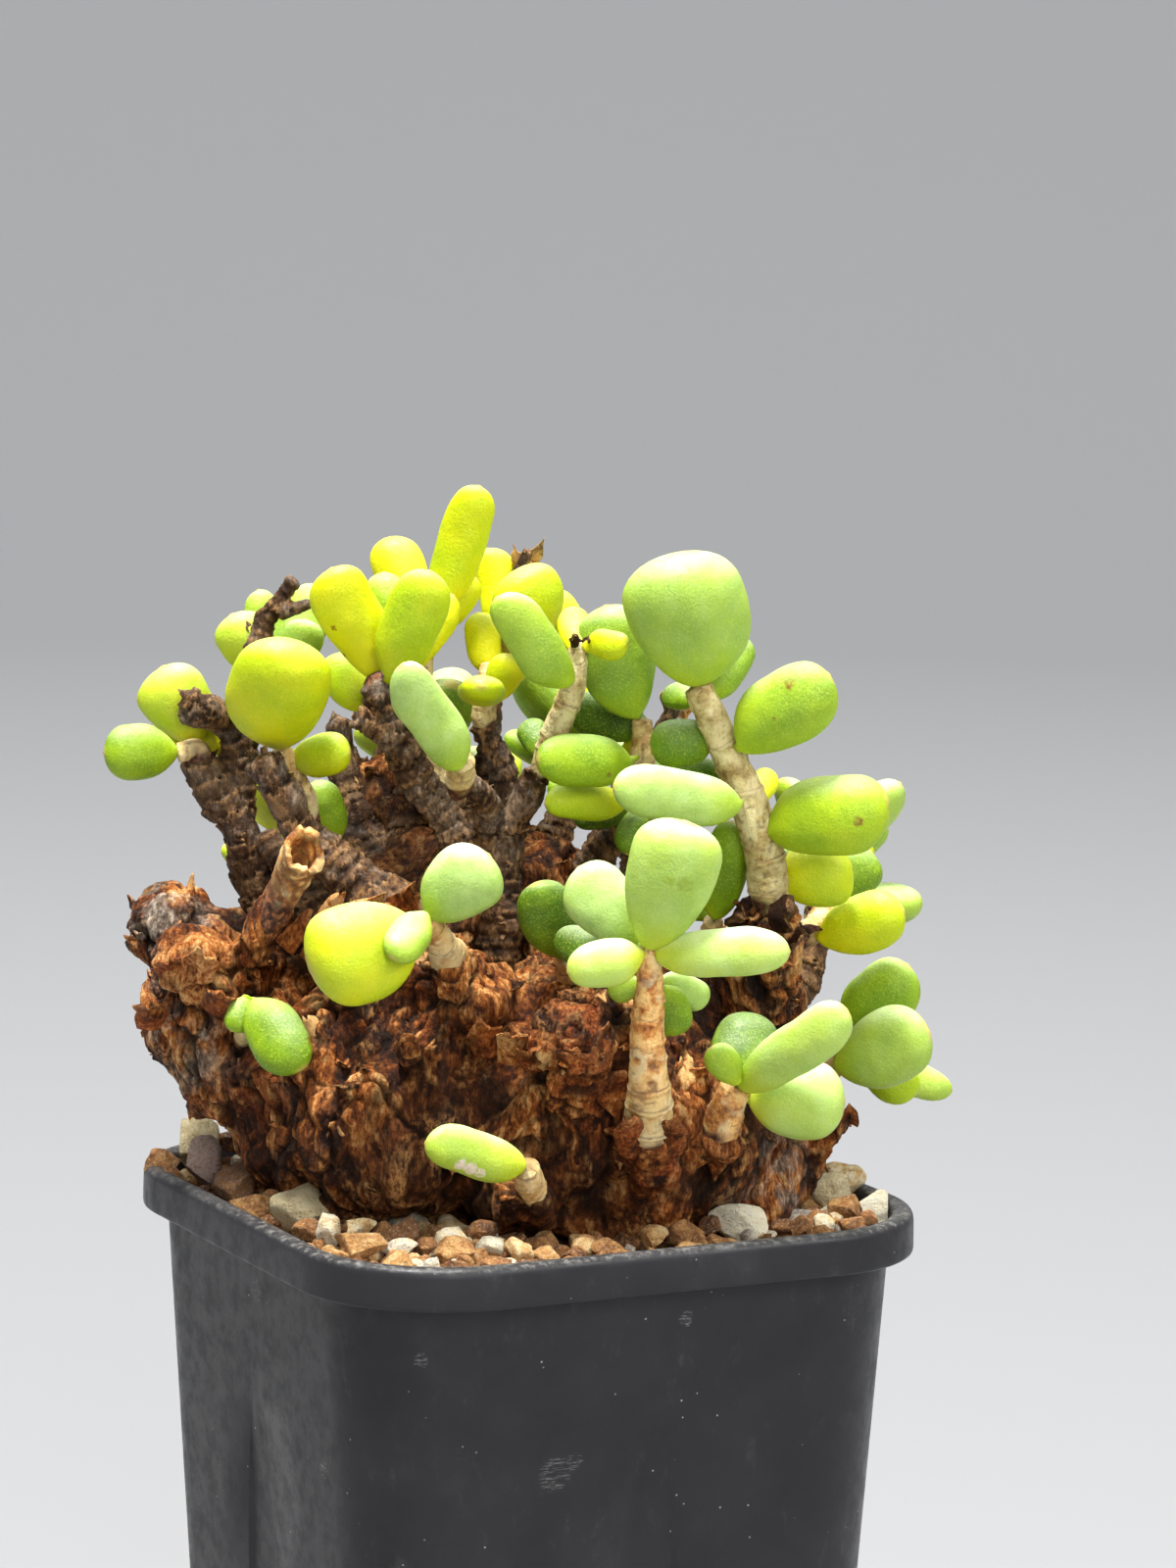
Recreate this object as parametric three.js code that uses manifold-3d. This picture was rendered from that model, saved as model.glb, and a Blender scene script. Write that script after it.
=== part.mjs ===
// Potted Ceraria pygmaea: a squat woody caudex with stubby limbs, leafy shoots and fat leaves,
// standing in grit in a square nursery pot. Millimetres, +Z up, origin under the middle of the pot.
// The plant faces -Y. Points marked seen() are read off a photograph of the plant, in pixels.

import * as THREE from 'three';
import { mergeVertices } from 'three/addons/utils/BufferGeometryUtils.js';
import Module from 'manifold-3d';

const wasm = await Module();
wasm.setup();

// The pot
const POT_HEIGHT = 76;
const RIM_WIDTH = 70;
const RIM_CORNER = 15.6;
const BAND_HEIGHT = 4.6;
const BODY_TOP_WIDTH = 65.2;
const BASE_WIDTH = 55;
const WALL = 1.3;
const FLOOR = 1.6;
const RIM_ROUNDING = 0.7;
const RIM_LIP = 2.4;
const PANEL_TOP = 56;
const PANEL_DEPTH = 0.5;
const PANEL_TOP_HALF_WIDTH = 1.5;
const PANEL_SPREAD = 6.5;
const PANEL_EDGE = 0.5;
const POT_TURN = THREE.MathUtils.degToRad(26.5);
const DRAIN_RADIUS = 3;
const DRAIN_OFFSET = 17;
const CORNER_STEPS = 5;

// The grit and the fit of one piece in another
const SOIL_BELOW_RIM = 2;
const FIT_GAP = 0.3;
const SEED = 20417;

// How far apart the rings of a limb or stem stand, how many sides they have and how uneven they are
const RING_SPACING = 7;
const LIMB_SIDES = 6;
const ROOT_SIDES = 8;
const LIMB_UNEVEN = 0.35;
const ROOT_UNEVEN = 0.2;
const STEM_UNEVEN = 0.12;
const FOOT_DEPTH = 2;
const LUMP_RELIEF = 1.5;

// Where the photograph was taken from, with the middle of the rim as its aim
const RIM_CENTRE = new THREE.Vector3(0, 0, POT_HEIGHT);
const CAMERA_DISTANCE = 562;
const CAMERA_ELEVATION = THREE.MathUtils.degToRad(12.3);
const CAMERA_ROLL = THREE.MathUtils.degToRad(-1);
const FOCAL_PIXELS = 5295;
const FRAME_CENTRE = { x: 600, y: 800 };
const RIM_CENTRE_PIXEL = { x: 534, y: 1207 };

// Leaf shape: its thickness for its width, and the widths for its length of an egg and of a sausage
const LEAF_THICKNESS = 0.62;
const EGG_WIDTH = 0.66;
const SAUSAGE_WIDTH = 0.41;
const LEAF_SIDES = 6;
const LEAF_RINGS = 5;
const SMALL_LEAF_RINGS = 3;
const SMALL_LEAF_WIDTH = 4;

const COLOURS = {
  pot: { color: 0x2c3034, roughness: 0.55, metalness: 0 },
  grit: { color: 0x8a6a48, roughness: 0.95, metalness: 0 },
  bark: { color: 0x6b412a, roughness: 0.9, metalness: 0 },
  pale_stone: { color: 0xcfc29a, roughness: 0.85, metalness: 0 },
  brown_stone: { color: 0x94703f, roughness: 0.9, metalness: 0 },
  yellow_leaf: { color: 0xb4c034, roughness: 0.45, metalness: 0 },
  green_leaf: { color: 0x8fb765, roughness: 0.5, metalness: 0 },
};

// A repeatable stream of numbers from 0 to 1
function randomStream(seed) {
  let state = seed;
  return () => {
    state = (state + 0x6d2b79f5) | 0;
    let t = Math.imul(state ^ (state >>> 15), 1 | state);
    t = (t + Math.imul(t ^ (t >>> 7), 61 | t)) ^ t;
    return ((t ^ (t >>> 14)) >>> 0) / 4294967296;
  };
}

// Smooth lumpiness in space, about -1 to 1, from a few crossed waves
const lumpiness = (() => {
  const random = randomStream(SEED);
  const waves = [];
  for (const length of [17, 13, 9, 7, 5.5]) {
    const direction = new THREE.Vector3(random() - 0.5, random() - 0.5, random() - 0.5);
    direction.normalize().multiplyScalar((2 * Math.PI) / length);
    waves.push({ direction, phase: random() * 2 * Math.PI, size: length / 17 });
  }
  return (p) => {
    let sum = 0;
    for (const wave of waves) sum += wave.size * Math.sin(wave.direction.dot(p) + wave.phase);
    return sum / 1.6;
  };
})();

// The camera's own axes, as the rows of a matrix
const cameraAxes = (() => {
  const { x, y } = FRAME_CENTRE;
  const back = new THREE.Vector3(0, -Math.cos(CAMERA_ELEVATION), Math.sin(CAMERA_ELEVATION));
  const right = new THREE.Vector3(1, 0, 0);
  const up = new THREE.Vector3().crossVectors(back, right);
  const level = new THREE.Matrix3().set(...right.toArray(), ...up.toArray(), ...back.toArray());
  const aim = new THREE.Vector3(
    (RIM_CENTRE_PIXEL.x - x) / FOCAL_PIXELS, -(RIM_CENTRE_PIXEL.y - y) / FOCAL_PIXELS, -1,
  ).normalize();
  const yaw = Math.atan2(aim.x, -aim.z);
  const pitch = Math.asin(aim.y);
  const [cy, sy] = [Math.cos(yaw), Math.sin(yaw)];
  const [cp, sp] = [Math.cos(pitch), Math.sin(pitch)];
  const [cr, sr] = [Math.cos(CAMERA_ROLL), Math.sin(CAMERA_ROLL)];
  return new THREE.Matrix3().set(cy, 0, -sy, 0, 1, 0, sy, 0, cy)
    .multiply(new THREE.Matrix3().set(1, 0, 0, 0, cp, -sp, 0, sp, cp))
    .multiply(new THREE.Matrix3().set(cr, -sr, 0, sr, cr, 0, 0, 0, 1))
    .multiply(level);
})();

const eye = new THREE.Vector3(0, -Math.cos(CAMERA_ELEVATION), Math.sin(CAMERA_ELEVATION))
  .multiplyScalar(CAMERA_DISTANCE).add(RIM_CENTRE);

// The point behind a pixel of the photograph, at a depth in y (negative is nearer the viewer)
function seen(pixelX, pixelY, depth) {
  const ray = new THREE.Vector3(
    (pixelX - FRAME_CENTRE.x) / FOCAL_PIXELS, -(pixelY - FRAME_CENTRE.y) / FOCAL_PIXELS, -1,
  ).applyMatrix3(cameraAxes.clone().transpose());
  return ray.multiplyScalar((depth - eye.y) / ray.y).add(eye);
}

// The point behind a pixel at a height above the rim
function seenAtHeight(pixelX, pixelY, height) {
  const near = seen(pixelX, pixelY, -RIM_WIDTH);
  const far = seen(pixelX, pixelY, RIM_WIDTH);
  return near.lerp(far, (POT_HEIGHT + height - near.z) / (far.z - near.z));
}

// A point given in millimetres, with its height above the rim
const above = (x, y, height) => new THREE.Vector3(x, y, POT_HEIGHT + height);

// A geometry with every vertex moved by a rule, welded closed
function shaped(geometry, rule) {
  const bare = geometry.clone();
  bare.deleteAttribute('normal');
  bare.deleteAttribute('uv');
  const welded = mergeVertices(bare, 1e-4);
  const position = welded.attributes.position;
  const p = new THREE.Vector3();
  for (let i = 0; i < position.count; i += 1) {
    p.fromBufferAttribute(position, i);
    const q = rule(p);
    position.setXYZ(i, q.x, q.y, q.z);
  }
  return welded;
}

// The exact solid of a closed geometry
function solid(geometry) {
  const index = geometry.index.array;
  const triVerts = [];
  for (let i = 0; i < index.length; i += 3) {
    const [a, b, c] = [index[i], index[i + 1], index[i + 2]];
    if (a !== b && b !== c && c !== a) triVerts.push(a, b, c);
  }
  return new wasm.Manifold(new wasm.Mesh({
    numProp: 3,
    vertProperties: new Float32Array(geometry.attributes.position.array),
    triVerts: new Uint32Array(triVerts),
  }));
}

const join = (solids) => solids.reduce((whole, piece) => whole.add(piece));

// The largest piece of a solid, so that scraps left by a cut are dropped
function largest(whole) {
  const pieces = whole.decompose();
  return pieces.reduce((best, piece) => (piece.volume() > best.volume() ? piece : best));
}

function mesh(name, whole, colour) {
  const { vertProperties, triVerts } = whole.getMesh();
  const geometry = new THREE.BufferGeometry();
  geometry.setAttribute('position', new THREE.BufferAttribute(vertProperties, 3));
  geometry.setIndex(new THREE.BufferAttribute(triVerts, 1));
  geometry.computeVertexNormals();
  const piece = new THREE.Mesh(geometry, new THREE.MeshStandardMaterial(COLOURS[colour]));
  piece.name = name;
  piece.userData.slot = colour;
  return piece;
}

// One point of a rounded square ring, counted round from step 0
const SIDE_STEPS = 5;
const RING_STEPS = 4 * (CORNER_STEPS + SIDE_STEPS);
function ringPoint(step, half, corner, z) {
  const quarter = Math.floor(step / (CORNER_STEPS + SIDE_STEPS)) % 4;
  const within = step % (CORNER_STEPS + SIDE_STEPS);
  const straight = half - corner;
  const inPanel = THREE.MathUtils.clamp((PANEL_TOP - z) / PANEL_TOP, 0, 1);
  const panel = PANEL_TOP_HALF_WIDTH + PANEL_SPREAD * inPanel;
  const depth = PANEL_DEPTH * Math.min(1, inPanel * 6);
  let [x, y] = [0, 0];
  if (within <= CORNER_STEPS) {
    const angle = (within / CORNER_STEPS) * (Math.PI / 2);
    x = straight + corner * Math.cos(angle);
    y = straight + corner * Math.sin(angle);
  } else {
    const across = [panel + PANEL_EDGE, panel, -panel, -panel - PANEL_EDGE][within - CORNER_STEPS - 1];
    x = across;
    y = half - (Math.abs(across) <= panel ? depth : 0);
  }
  return new THREE.Vector3(x, y, z).applyAxisAngle(new THREE.Vector3(0, 0, 1), quarter * (Math.PI / 2));
}

// A solid of rounded square rings from a profile of half widths and heights
function squareTurned(profile) {
  const points = profile.map(([half, z]) => new THREE.Vector2(half, z));
  const lathe = new THREE.LatheGeometry(points, RING_STEPS);
  return shaped(lathe, (p) => {
    const half = Math.hypot(p.x, p.z);
    if (half < 1e-6) return new THREE.Vector3(0, 0, p.y);
    const angle = (Math.atan2(p.x, p.z) + 2 * Math.PI) % (2 * Math.PI);
    const step = Math.round((angle / (2 * Math.PI)) * RING_STEPS) % RING_STEPS;
    const corner = Math.max(3, RIM_CORNER - (RIM_WIDTH / 2 - half));
    return ringPoint(step, half, corner, p.y).applyAxisAngle(new THREE.Vector3(0, 0, 1), POT_TURN);
  });
}

// Half width of the pot's outside at a height, below the rim band, and of its mouth
const bodyHalf = (z) => THREE.MathUtils.lerp(BASE_WIDTH / 2, BODY_TOP_WIDTH / 2, z / POT_HEIGHT);
const MOUTH_HALF = RIM_WIDTH / 2 - RIM_LIP;
const BAND_LOW = POT_HEIGHT - BAND_HEIGHT;

// The space inside the pot and straight above its mouth, clear of its walls
function potSpace() {
  const clear = (half) => half - FIT_GAP;
  return solid(squareTurned([
    [0, FLOOR + FIT_GAP], [clear(bodyHalf(FLOOR) - WALL), FLOOR + FIT_GAP],
    [clear(bodyHalf(BAND_LOW - 1) - WALL), BAND_LOW - 1], [clear(MOUTH_HALF), POT_HEIGHT - 1],
    [clear(MOUTH_HALF), 2 * POT_HEIGHT], [0, 2 * POT_HEIGHT],
  ]));
}

function potSolid() {
  const rim = RIM_WIDTH / 2;
  const shell = solid(squareTurned([
    [0, 0], [bodyHalf(0) - 0.8, 0], [bodyHalf(1), 0.8],
    [bodyHalf(PANEL_TOP), PANEL_TOP], [bodyHalf(BAND_LOW), BAND_LOW],
    [rim, BAND_LOW + 0.3], [rim, POT_HEIGHT - RIM_ROUNDING], [rim - RIM_ROUNDING, POT_HEIGHT],
    [MOUTH_HALF + 0.3, POT_HEIGHT - 0.2], [MOUTH_HALF, POT_HEIGHT - 1],
    [bodyHalf(BAND_LOW - 1) - WALL, BAND_LOW - 1],
    [bodyHalf(PANEL_TOP) - WALL, PANEL_TOP], [bodyHalf(FLOOR) - WALL, FLOOR], [0, FLOOR],
  ]));
  const drills = [0, 1, 2, 3].map((quarter) => {
    const turn = POT_TURN + Math.PI / 4 + (quarter * Math.PI) / 2;
    const drill = new THREE.CylinderGeometry(DRAIN_RADIUS, DRAIN_RADIUS, 4 * FLOOR, 8);
    drill.rotateX(Math.PI / 2);
    drill.translate(DRAIN_OFFSET * Math.cos(turn), DRAIN_OFFSET * Math.sin(turn), FLOOR / 2);
    return solid(shaped(drill, (p) => p));
  });
  return drills.reduce((whole, drill) => whole.subtract(drill), shell);
}

// A lump of wood: an ellipsoid with an uneven surface
function lump(centre, radii, detail, grow) {
  const size = new THREE.Vector3(...radii);
  return solid(shaped(new THREE.IcosahedronGeometry(1, detail), (p) => {
    const place = p.clone().multiply(size).add(centre);
    const out = p.clone().divide(size).normalize();
    return place.addScaledVector(out, grow + LUMP_RELIEF * lumpiness(place));
  }));
}

// A limb or stem: a tapered tube along points, with an uneven surface and joints like knuckles
function limb(points, radii, sides, unevenness, grow) {
  const route = points.length > 2
    ? new THREE.CatmullRomCurve3(points) : new THREE.LineCurve3(points[0], points[1]);
  const rings = Math.max(2, Math.round(route.getLength() / RING_SPACING));
  const frames = frameAlong(route, rings);
  const tube = new THREE.CylinderGeometry(1, 1, 1, sides, rings);
  return solid(shaped(tube, (p) => {
    const along = p.y + 0.5;
    const ring = Math.round(along * rings);
    const { place, side, over, ahead } = frames[ring];
    const reach = Math.hypot(p.x, p.z);
    const swell = ring % 2 ? 1 + 0.5 * unevenness : 1 - 0.3 * unevenness;
    const radius = (profileAt(radii, along) * swell + grow) * reach;
    const q = place.clone();
    if (reach > 1e-6) {
      q.addScaledVector(side, (radius * p.x) / reach).addScaledVector(over, (radius * p.z) / reach);
      q.addScaledVector(side.clone().multiplyScalar(p.x).addScaledVector(over, p.z),
        unevenness * lumpiness(q) * 0.8);
    }
    const end = ring === 0 ? -1 : ring === rings ? 1 : 0;
    return q.addScaledVector(ahead, end * (grow + (reach > 1e-6 ? 0 : 0.35 * profileAt(radii, along))));
  }));
}

// A value along a list spread evenly from 0 to 1
function profileAt(list, along) {
  const place = THREE.MathUtils.clamp(along, 0, 1) * (list.length - 1);
  const low = Math.min(Math.floor(place), list.length - 2);
  return THREE.MathUtils.lerp(list[low], list[low + 1], place - low);
}

// Steady frames along a curve, without twist
function frameAlong(route, rings) {
  const frames = [];
  let side = null;
  for (let i = 0; i <= rings; i += 1) {
    const place = route.getPointAt(i / rings);
    const ahead = route.getTangentAt(i / rings);
    if (!side) {
      side = new THREE.Vector3(0, 1, 0).cross(ahead);
      if (side.length() < 0.1) side.set(1, 0, 0).cross(ahead);
    }
    side = side.clone().addScaledVector(ahead, -side.dot(ahead)).normalize();
    frames.push({ place, side, over: new THREE.Vector3().crossVectors(side, ahead), ahead });
  }
  return frames;
}

// A fat leaf from its seat to its tip, rooted in the stem, with its broad face to a viewer
function leaf(root, seat, tip, width, widest, facing, rings, grow) {
  const axis = tip.clone().sub(seat);
  const length = axis.length();
  axis.normalize();
  const across = new THREE.Vector3().crossVectors(facing, axis);
  if (across.length() < 0.3) across.set(0, 0, 1).cross(axis);
  across.normalize();
  const through = new THREE.Vector3().crossVectors(across, axis);
  const blunt = THREE.MathUtils.clamp((EGG_WIDTH - width / length) / (EGG_WIDTH - SAUSAGE_WIDTH), 0, 1);
  const ball = new THREE.SphereGeometry(1, LEAF_SIDES, rings);
  return solid(shaped(ball, (p) => {
    const along = (1 + p.y) / 2;
    if (along < 0.001) return root.clone().addScaledVector(axis, -grow);
    const reach = along < widest
      ? (1 - ((widest - along) / widest) ** (2.1 + 1.4 * blunt)) ** 0.6
      : (1 - ((along - widest) / (1 - widest)) ** (2.6 + 0.6 * blunt)) ** 0.5;
    const turn = Math.atan2(p.z, p.x);
    const half = (width / 2) * reach + (reach > 0.01 ? grow : 0);
    const thick = (width / 2) * LEAF_THICKNESS * reach + (reach > 0.01 ? grow : 0);
    return seat.clone().addScaledVector(axis, along * length + (along > 0.999 ? grow : 0))
      .addScaledVector(across, half * Math.cos(turn)).addScaledVector(through, thick * Math.sin(turn));
  }));
}

// The nearest point on a stem's route to a leaf's seat
function nearest(points, seat) {
  let best = points[0];
  for (let i = 0; i + 1 < points.length; i += 1) {
    const line = new THREE.Line3(points[i], points[i + 1]);
    const q = line.closestPointToPoint(seat, true, new THREE.Vector3());
    if (q.distanceTo(seat) < best.distanceTo(seat)) best = q;
  }
  return best;
}

// Woody masses of the caudex: middle, half sizes, fineness
const LUMPS = [
  [seen(400, 1115, -3), [16, 18, 15], 3],
  [seen(600, 1130, -4), [20, 19, 15], 3],
  [seen(740, 1160, -1), [9.5, 11.5, 13], 3],
  [seen(228, 1030, 2), [8.2, 10, 11], 3],
  [seen(300, 1075, 1), [10, 13, 9], 2],
  [seen(470, 1010, -12), [6.5, 7, 5.5], 2],
  [seen(470, 960, 10), [20, 13, 13], 2],
  [seen(700, 1030, 5), [11, 12, 8], 2],
  [seen(600, 1100, -17), [7.5, 7, 8], 2],
];

// Old limbs and stubs of the caudex: route, radii
const LIMBS = [
  [[seen(300, 1010, 4), seen(275, 930, 6), seen(240, 840, 6), seen(215, 800, 6), seen(205, 775, 6)],
    [4.2, 2.7, 2.6, 2.5]],
  [[seen(245, 850, 7), seen(242, 780, 7), seen(225, 733, 5), seen(190, 722, 3)], [2, 1.7, 1.5, 2]],
  [[seen(245, 800, 8), seen(250, 700, 9), seen(268, 640, 9), seen(300, 591, 8)], [1.8, 1.6, 1.3, 1]],
  [[seen(286, 625, 8), seen(317, 617, 7)], [0.9, 0.7]],
  [[seen(420, 960, -6), seen(370, 895, -6), seen(305, 840, -5), seen(268, 775, -5)],
    [4.6, 3.4, 2.7, 2.7]],
  [[seen(235, 1000, -4), seen(270, 950, -9), seen(290, 905, -11), seen(312, 868, -12)],
    [2.6, 2.2, 2, 2.3]],
  [[seen(235, 1000, -2), seen(182, 975, -8)], [4.2, 3.4]],
  [[seen(210, 970, 3), seen(194, 908, 4)], [3.4, 1.1]],
  [[seen(480, 930, 2), seen(470, 850, 0), seen(430, 800, -1), seen(400, 740, -2), seen(386, 700, -2)],
    [3.4, 2.6, 2.4, 2, 1.9]],
  [[seen(405, 760, -2), seen(364, 732, -4)], [1.4, 1.3]],
  [[seen(513, 1000, -3), seen(511, 900, -2), seen(505, 830, -1)], [2.7, 2.3, 2.2]],
  [[seen(506, 850, -1), seen(490, 815, -5), seen(470, 798, -8)], [2, 1.7, 1.6]],
  [[seen(512, 870, 0), seen(520, 805, 4), seen(492, 740, 5)], [2, 1.6, 1.4]],
  [[seen(512, 880, -1), seen(540, 812, -3), seen(549, 790, -4)], [2, 1.8, 1.6]],
  [[seen(560, 990, 2), seen(595, 900, 3), seen(640, 840, 2)], [3, 2.2, 1.6]],
  [[seen(590, 920, 6), seen(620, 850, 8), seen(690, 722, 6)], [2, 1.3, 0.9]],
  [[seen(480, 900, 9), seen(500, 740, 12), seen(510, 620, 12), seen(540, 562, 12)], [2.6, 1.6, 1, 0.7]],
  [[seen(745, 1060, 0), seen(775, 1000, -5), seen(788, 930, -8)], [6, 4.6, 3.4]],
  [[seen(760, 990, -3), seen(825, 945, -4)], [2.6, 1.6]],
  [[seen(660, 1195, -16), seen(662, 1155, -24)], [4, 3]],
  [[seen(715, 1190, -10), seen(737, 1155, -18)], [3.4, 2.3]],
  [[seen(545, 1245, -16), seen(545, 1222, -24)], [2.2, 1.8]],
  [[seen(515, 1230, -16), seen(519, 1226, -25)], [2, 1.5]],
  [[seen(810, 1205, -3), seen(866, 1141, -5)], [2, 0.9]],
  [[seen(770, 1130, -2), seen(828, 1105, -2)], [3, 2]],
  [[seen(600, 1085, -14), seen(586, 1055, -25)], [5.8, 4.6]],
  [[seen(690, 1100, -12), seen(690, 1060, -16)], [1.8, 1]],
  [[seen(425, 1100, -16), seen(418, 1066, -23)], [2, 1.1]],
  [[seen(420, 960, 4), seen(385, 880, 10), seen(356, 800, 13), seen(345, 735, 14)], [5, 3.2, 2, 1.4]],
  [[seen(450, 960, 6), seen(425, 880, 10), seen(415, 800, 12)], [5, 4, 2.2]],
];

// Limbs and stubs on the far side, which the photograph doesn't show
const FAR_LIMBS = [
  [[above(-12, 10, 10), above(-22, 17, 20), above(-24, 20, 28)], [3.4, 2.3, 1.7]],
  [[above(0, 14, 12), above(-3, 25, 22), above(-6, 28, 30)], [3.4, 2.3, 1.7]],
  [[above(12, 14, 12), above(14, 24, 24), above(11, 26, 36)], [3.4, 2.3, 1.7]],
  [[above(20, 8, 10), above(30, 14, 20), above(32, 16, 28)], [3.4, 2.3, 1.7]],
  [[above(2, 10, 16), above(2, 16, 32), above(5, 17, 42)], [3.4, 2.3, 1.7]],
  [[above(-10, 8, 16), above(-14, 14, 32), above(-12, 16, 42)], [3.4, 2.3, 1.7]],
  [[above(-14, 12, 1), above(-24, 22, 6)], [6, 3.2]],
  [[above(6, 12, 0), above(9, 25, 4)], [7, 3.8]],
  [[above(20, 8, 2), above(29, 18, 9)], [6, 3]],
];

// The root stock below the grit
const ROOTS = [
  [[above(-4, 2, 2), above(-5, 3, -14), above(-7, 5, -30)], [15, 9, 2.5]],
  [[above(10, -2, 2), above(12, -3, -12), above(15, -6, -24)], [13, 7, 2]],
];

// Leafy shoots: stem, its radii, leaf colour, and each leaf's seat, tip, width and widest place.
// The first ones keep their leaves whole; later ones give way where leaves press together.
const SHOOTS = [
  { name: 'shoot_front_centre', colour: 'green_leaf', radii: [3, 2.1, 1.75, 1.5, 0.8],
    stem: [seen(662, 1165, -23), seen(662, 1100, -26), seen(661, 1050, -27), seen(663, 1000, -28),
      seen(663, 966, -28)],
    leaves: [
      [seen(662, 968, -29), seen(700, 838, -30), 9.3, 0.74],
      [seen(652, 964, -26), seen(590, 885, -23), 6.9, 0.62],
      [seen(655, 973, -29), seen(579, 992, -31), 4.9, 0.5],
      [seen(670, 975, -29), seen(806, 971, -30), 5, 0.54],
      [seen(655, 985, -25), seen(568, 955, -17), 4.6, 0.6],
      [seen(657, 1006, -27), seen(621, 1010, -24), 2.6, 0.6],
      [seen(670, 1008, -26), seen(698, 1052, -23), 4.2, 0.6],
      [seen(672, 1002, -25), seen(722, 1018, -20), 3.6, 0.6],
    ] },
  { name: 'shoot_front_right', colour: 'green_leaf', radii: [2.2, 1.9, 1.6],
    stem: [seen(733, 1165, -17), seen(742, 1130, -19), seen(750, 1108, -20)],
    leaves: [
      [seen(757, 1110, -21), seen(864, 1030, -26), 5.4, 0.68],
      [seen(764, 1120, -19), seen(862, 1126, -20), 8.2, 0.6],
      [seen(752, 1104, -22), seen(727, 1068, -24), 3.7, 0.55],
      [seen(755, 1106, -17), seen(768, 1035, -12), 7, 0.6],
    ] },
  { name: 'shoot_front_left', colour: 'yellow_leaf', radii: [1.9, 1.4, 1.2],
    stem: [seen(462, 985, -14), seen(446, 955, -20), seen(434, 938, -23)],
    leaves: [
      [seen(425, 945, -25), seen(316, 990, -29), 10.6, 0.62],
      [seen(437, 936, -23), seen(499, 872, -23), 7.6, 0.62],
      [seen(434, 934, -26), seen(400, 978, -31), 4.4, 0.5],
    ] },
  { name: 'shoot_low_front', colour: 'green_leaf', radii: [1.5, 1.4],
    stem: [seen(547, 1225, -23), seen(537, 1192, -26)],
    leaves: [
      [seen(535, 1190, -27), seen(434, 1166, -30), 4.9, 0.52],
    ] },
  { name: 'shoot_low_left', colour: 'green_leaf', radii: [1.4, 1],
    stem: [seen(248, 1062, -6), seen(258, 1026, -13)],
    leaves: [
      [seen(258, 1022, -15), seen(309, 1091, -20), 6.2, 0.52],
      [seen(254, 1018, -14), seen(236, 1052, -16), 3, 0.6],
    ] },
  { name: 'shoot_right', colour: 'green_leaf', radii: [2.2, 2, 1.9, 1.7, 1.5],
    stem: [seen(788, 935, -8), seen(782, 885, -9), seen(768, 830, -10), seen(740, 762, -10),
      seen(712, 702, -11)],
    leaves: [
      [seen(712, 700, -11), seen(699, 563, -13), 13, 0.62],
      [seen(755, 764, -12), seen(846, 688, -14), 8.2, 0.57],
      [seen(785, 850, -11), seen(906, 815, -14), 8.6, 0.54],
      [seen(755, 822, -13), seen(626, 802, -18), 5.7, 0.52],
      [seen(728, 746, -9), seen(665, 768, -10), 5.2, 0.54],
      [seen(740, 792, -7), seen(694, 784, -4), 3.4, 0.6],
      [seen(716, 712, -8), seen(762, 652, -4), 5, 0.6],
      [seen(708, 716, -7), seen(678, 708, -1), 3, 0.6],
      [seen(768, 822, -6), seen(786, 786, -2), 3, 0.6],
      [seen(796, 905, -8), seen(868, 880, -7), 7.2, 0.6],
    ] },
  { name: 'shoot_centre', colour: 'green_leaf', radii: [1.5, 1.4, 1.2, 0.9],
    stem: [seen(550, 790, -4), seen(566, 750, -5), seen(584, 702, -7), seen(592, 655, -7)],
    leaves: [
      [seen(582, 698, -9), seen(506, 610, -12), 5.3, 0.6],
      [seen(598, 660, -8), seen(641, 655, -11), 3.3, 0.5],
      [seen(556, 775, -3), seen(538, 735, 0), 3.4, 0.6],
      [seen(592, 668, -5), seen(582, 620, 0), 3.6, 0.6],
    ] },
  { name: 'shoot_inner_left', colour: 'green_leaf', radii: [1.6, 1.4],
    stem: [seen(468, 802, -8), seen(471, 776, -11)],
    leaves: [
      [seen(468, 784, -12), seen(411, 677, -16), 5.4, 0.5],
    ] },
  { name: 'shoot_inner_right', colour: 'green_leaf', radii: [1.6, 1.5, 1.3, 1],
    stem: [seen(640, 850, 2), seen(650, 805, -1), seen(656, 770, -2), seen(655, 735, -2)],
    leaves: [
      [seen(648, 732, -3), seen(618, 618, -3), 8.4, 0.6],
      [seen(660, 742, 0), seen(582, 722, 3), 5, 0.6],
      [seen(642, 778, -6), seen(548, 774, -11), 5.7, 0.52],
      [seen(654, 786, 0), seen(650, 748, 2), 3.4, 0.6],
      [seen(638, 818, -3), seen(556, 820, -7), 4.1, 0.52],
      [seen(644, 822, -1), seen(586, 838, 0), 3.4, 0.6],
      [seen(652, 822, -3), seen(640, 872, -6), 3.2, 0.6],
      [seen(660, 800, 2), seen(700, 770, 6), 5, 0.6],
    ] },
  { name: 'shoot_yellow_top', colour: 'yellow_leaf', radii: [1.9, 1.5, 1.2],
    stem: [seen(388, 705, -2), seen(392, 690, 0), seen(398, 672, 2)],
    leaves: [
      [seen(388, 692, -1), seen(338, 580, -3), 6.8, 0.7],
      [seen(398, 692, -4), seen(440, 583, -6), 6.5, 0.62],
      [seen(396, 684, 4), seen(392, 584, 7), 5, 0.6],
      [seen(380, 722, 2), seen(330, 674, 4), 4.8, 0.6],
      [seen(404, 690, 3), seen(462, 607, 4), 4.6, 0.6],
    ] },
  { name: 'shoot_left_leaves', colour: 'yellow_leaf', radii: [1.3, 1.2, 0.9],
    stem: [seen(318, 836, 2), seen(302, 796, 0.5), seen(286, 764, -1)],
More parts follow.
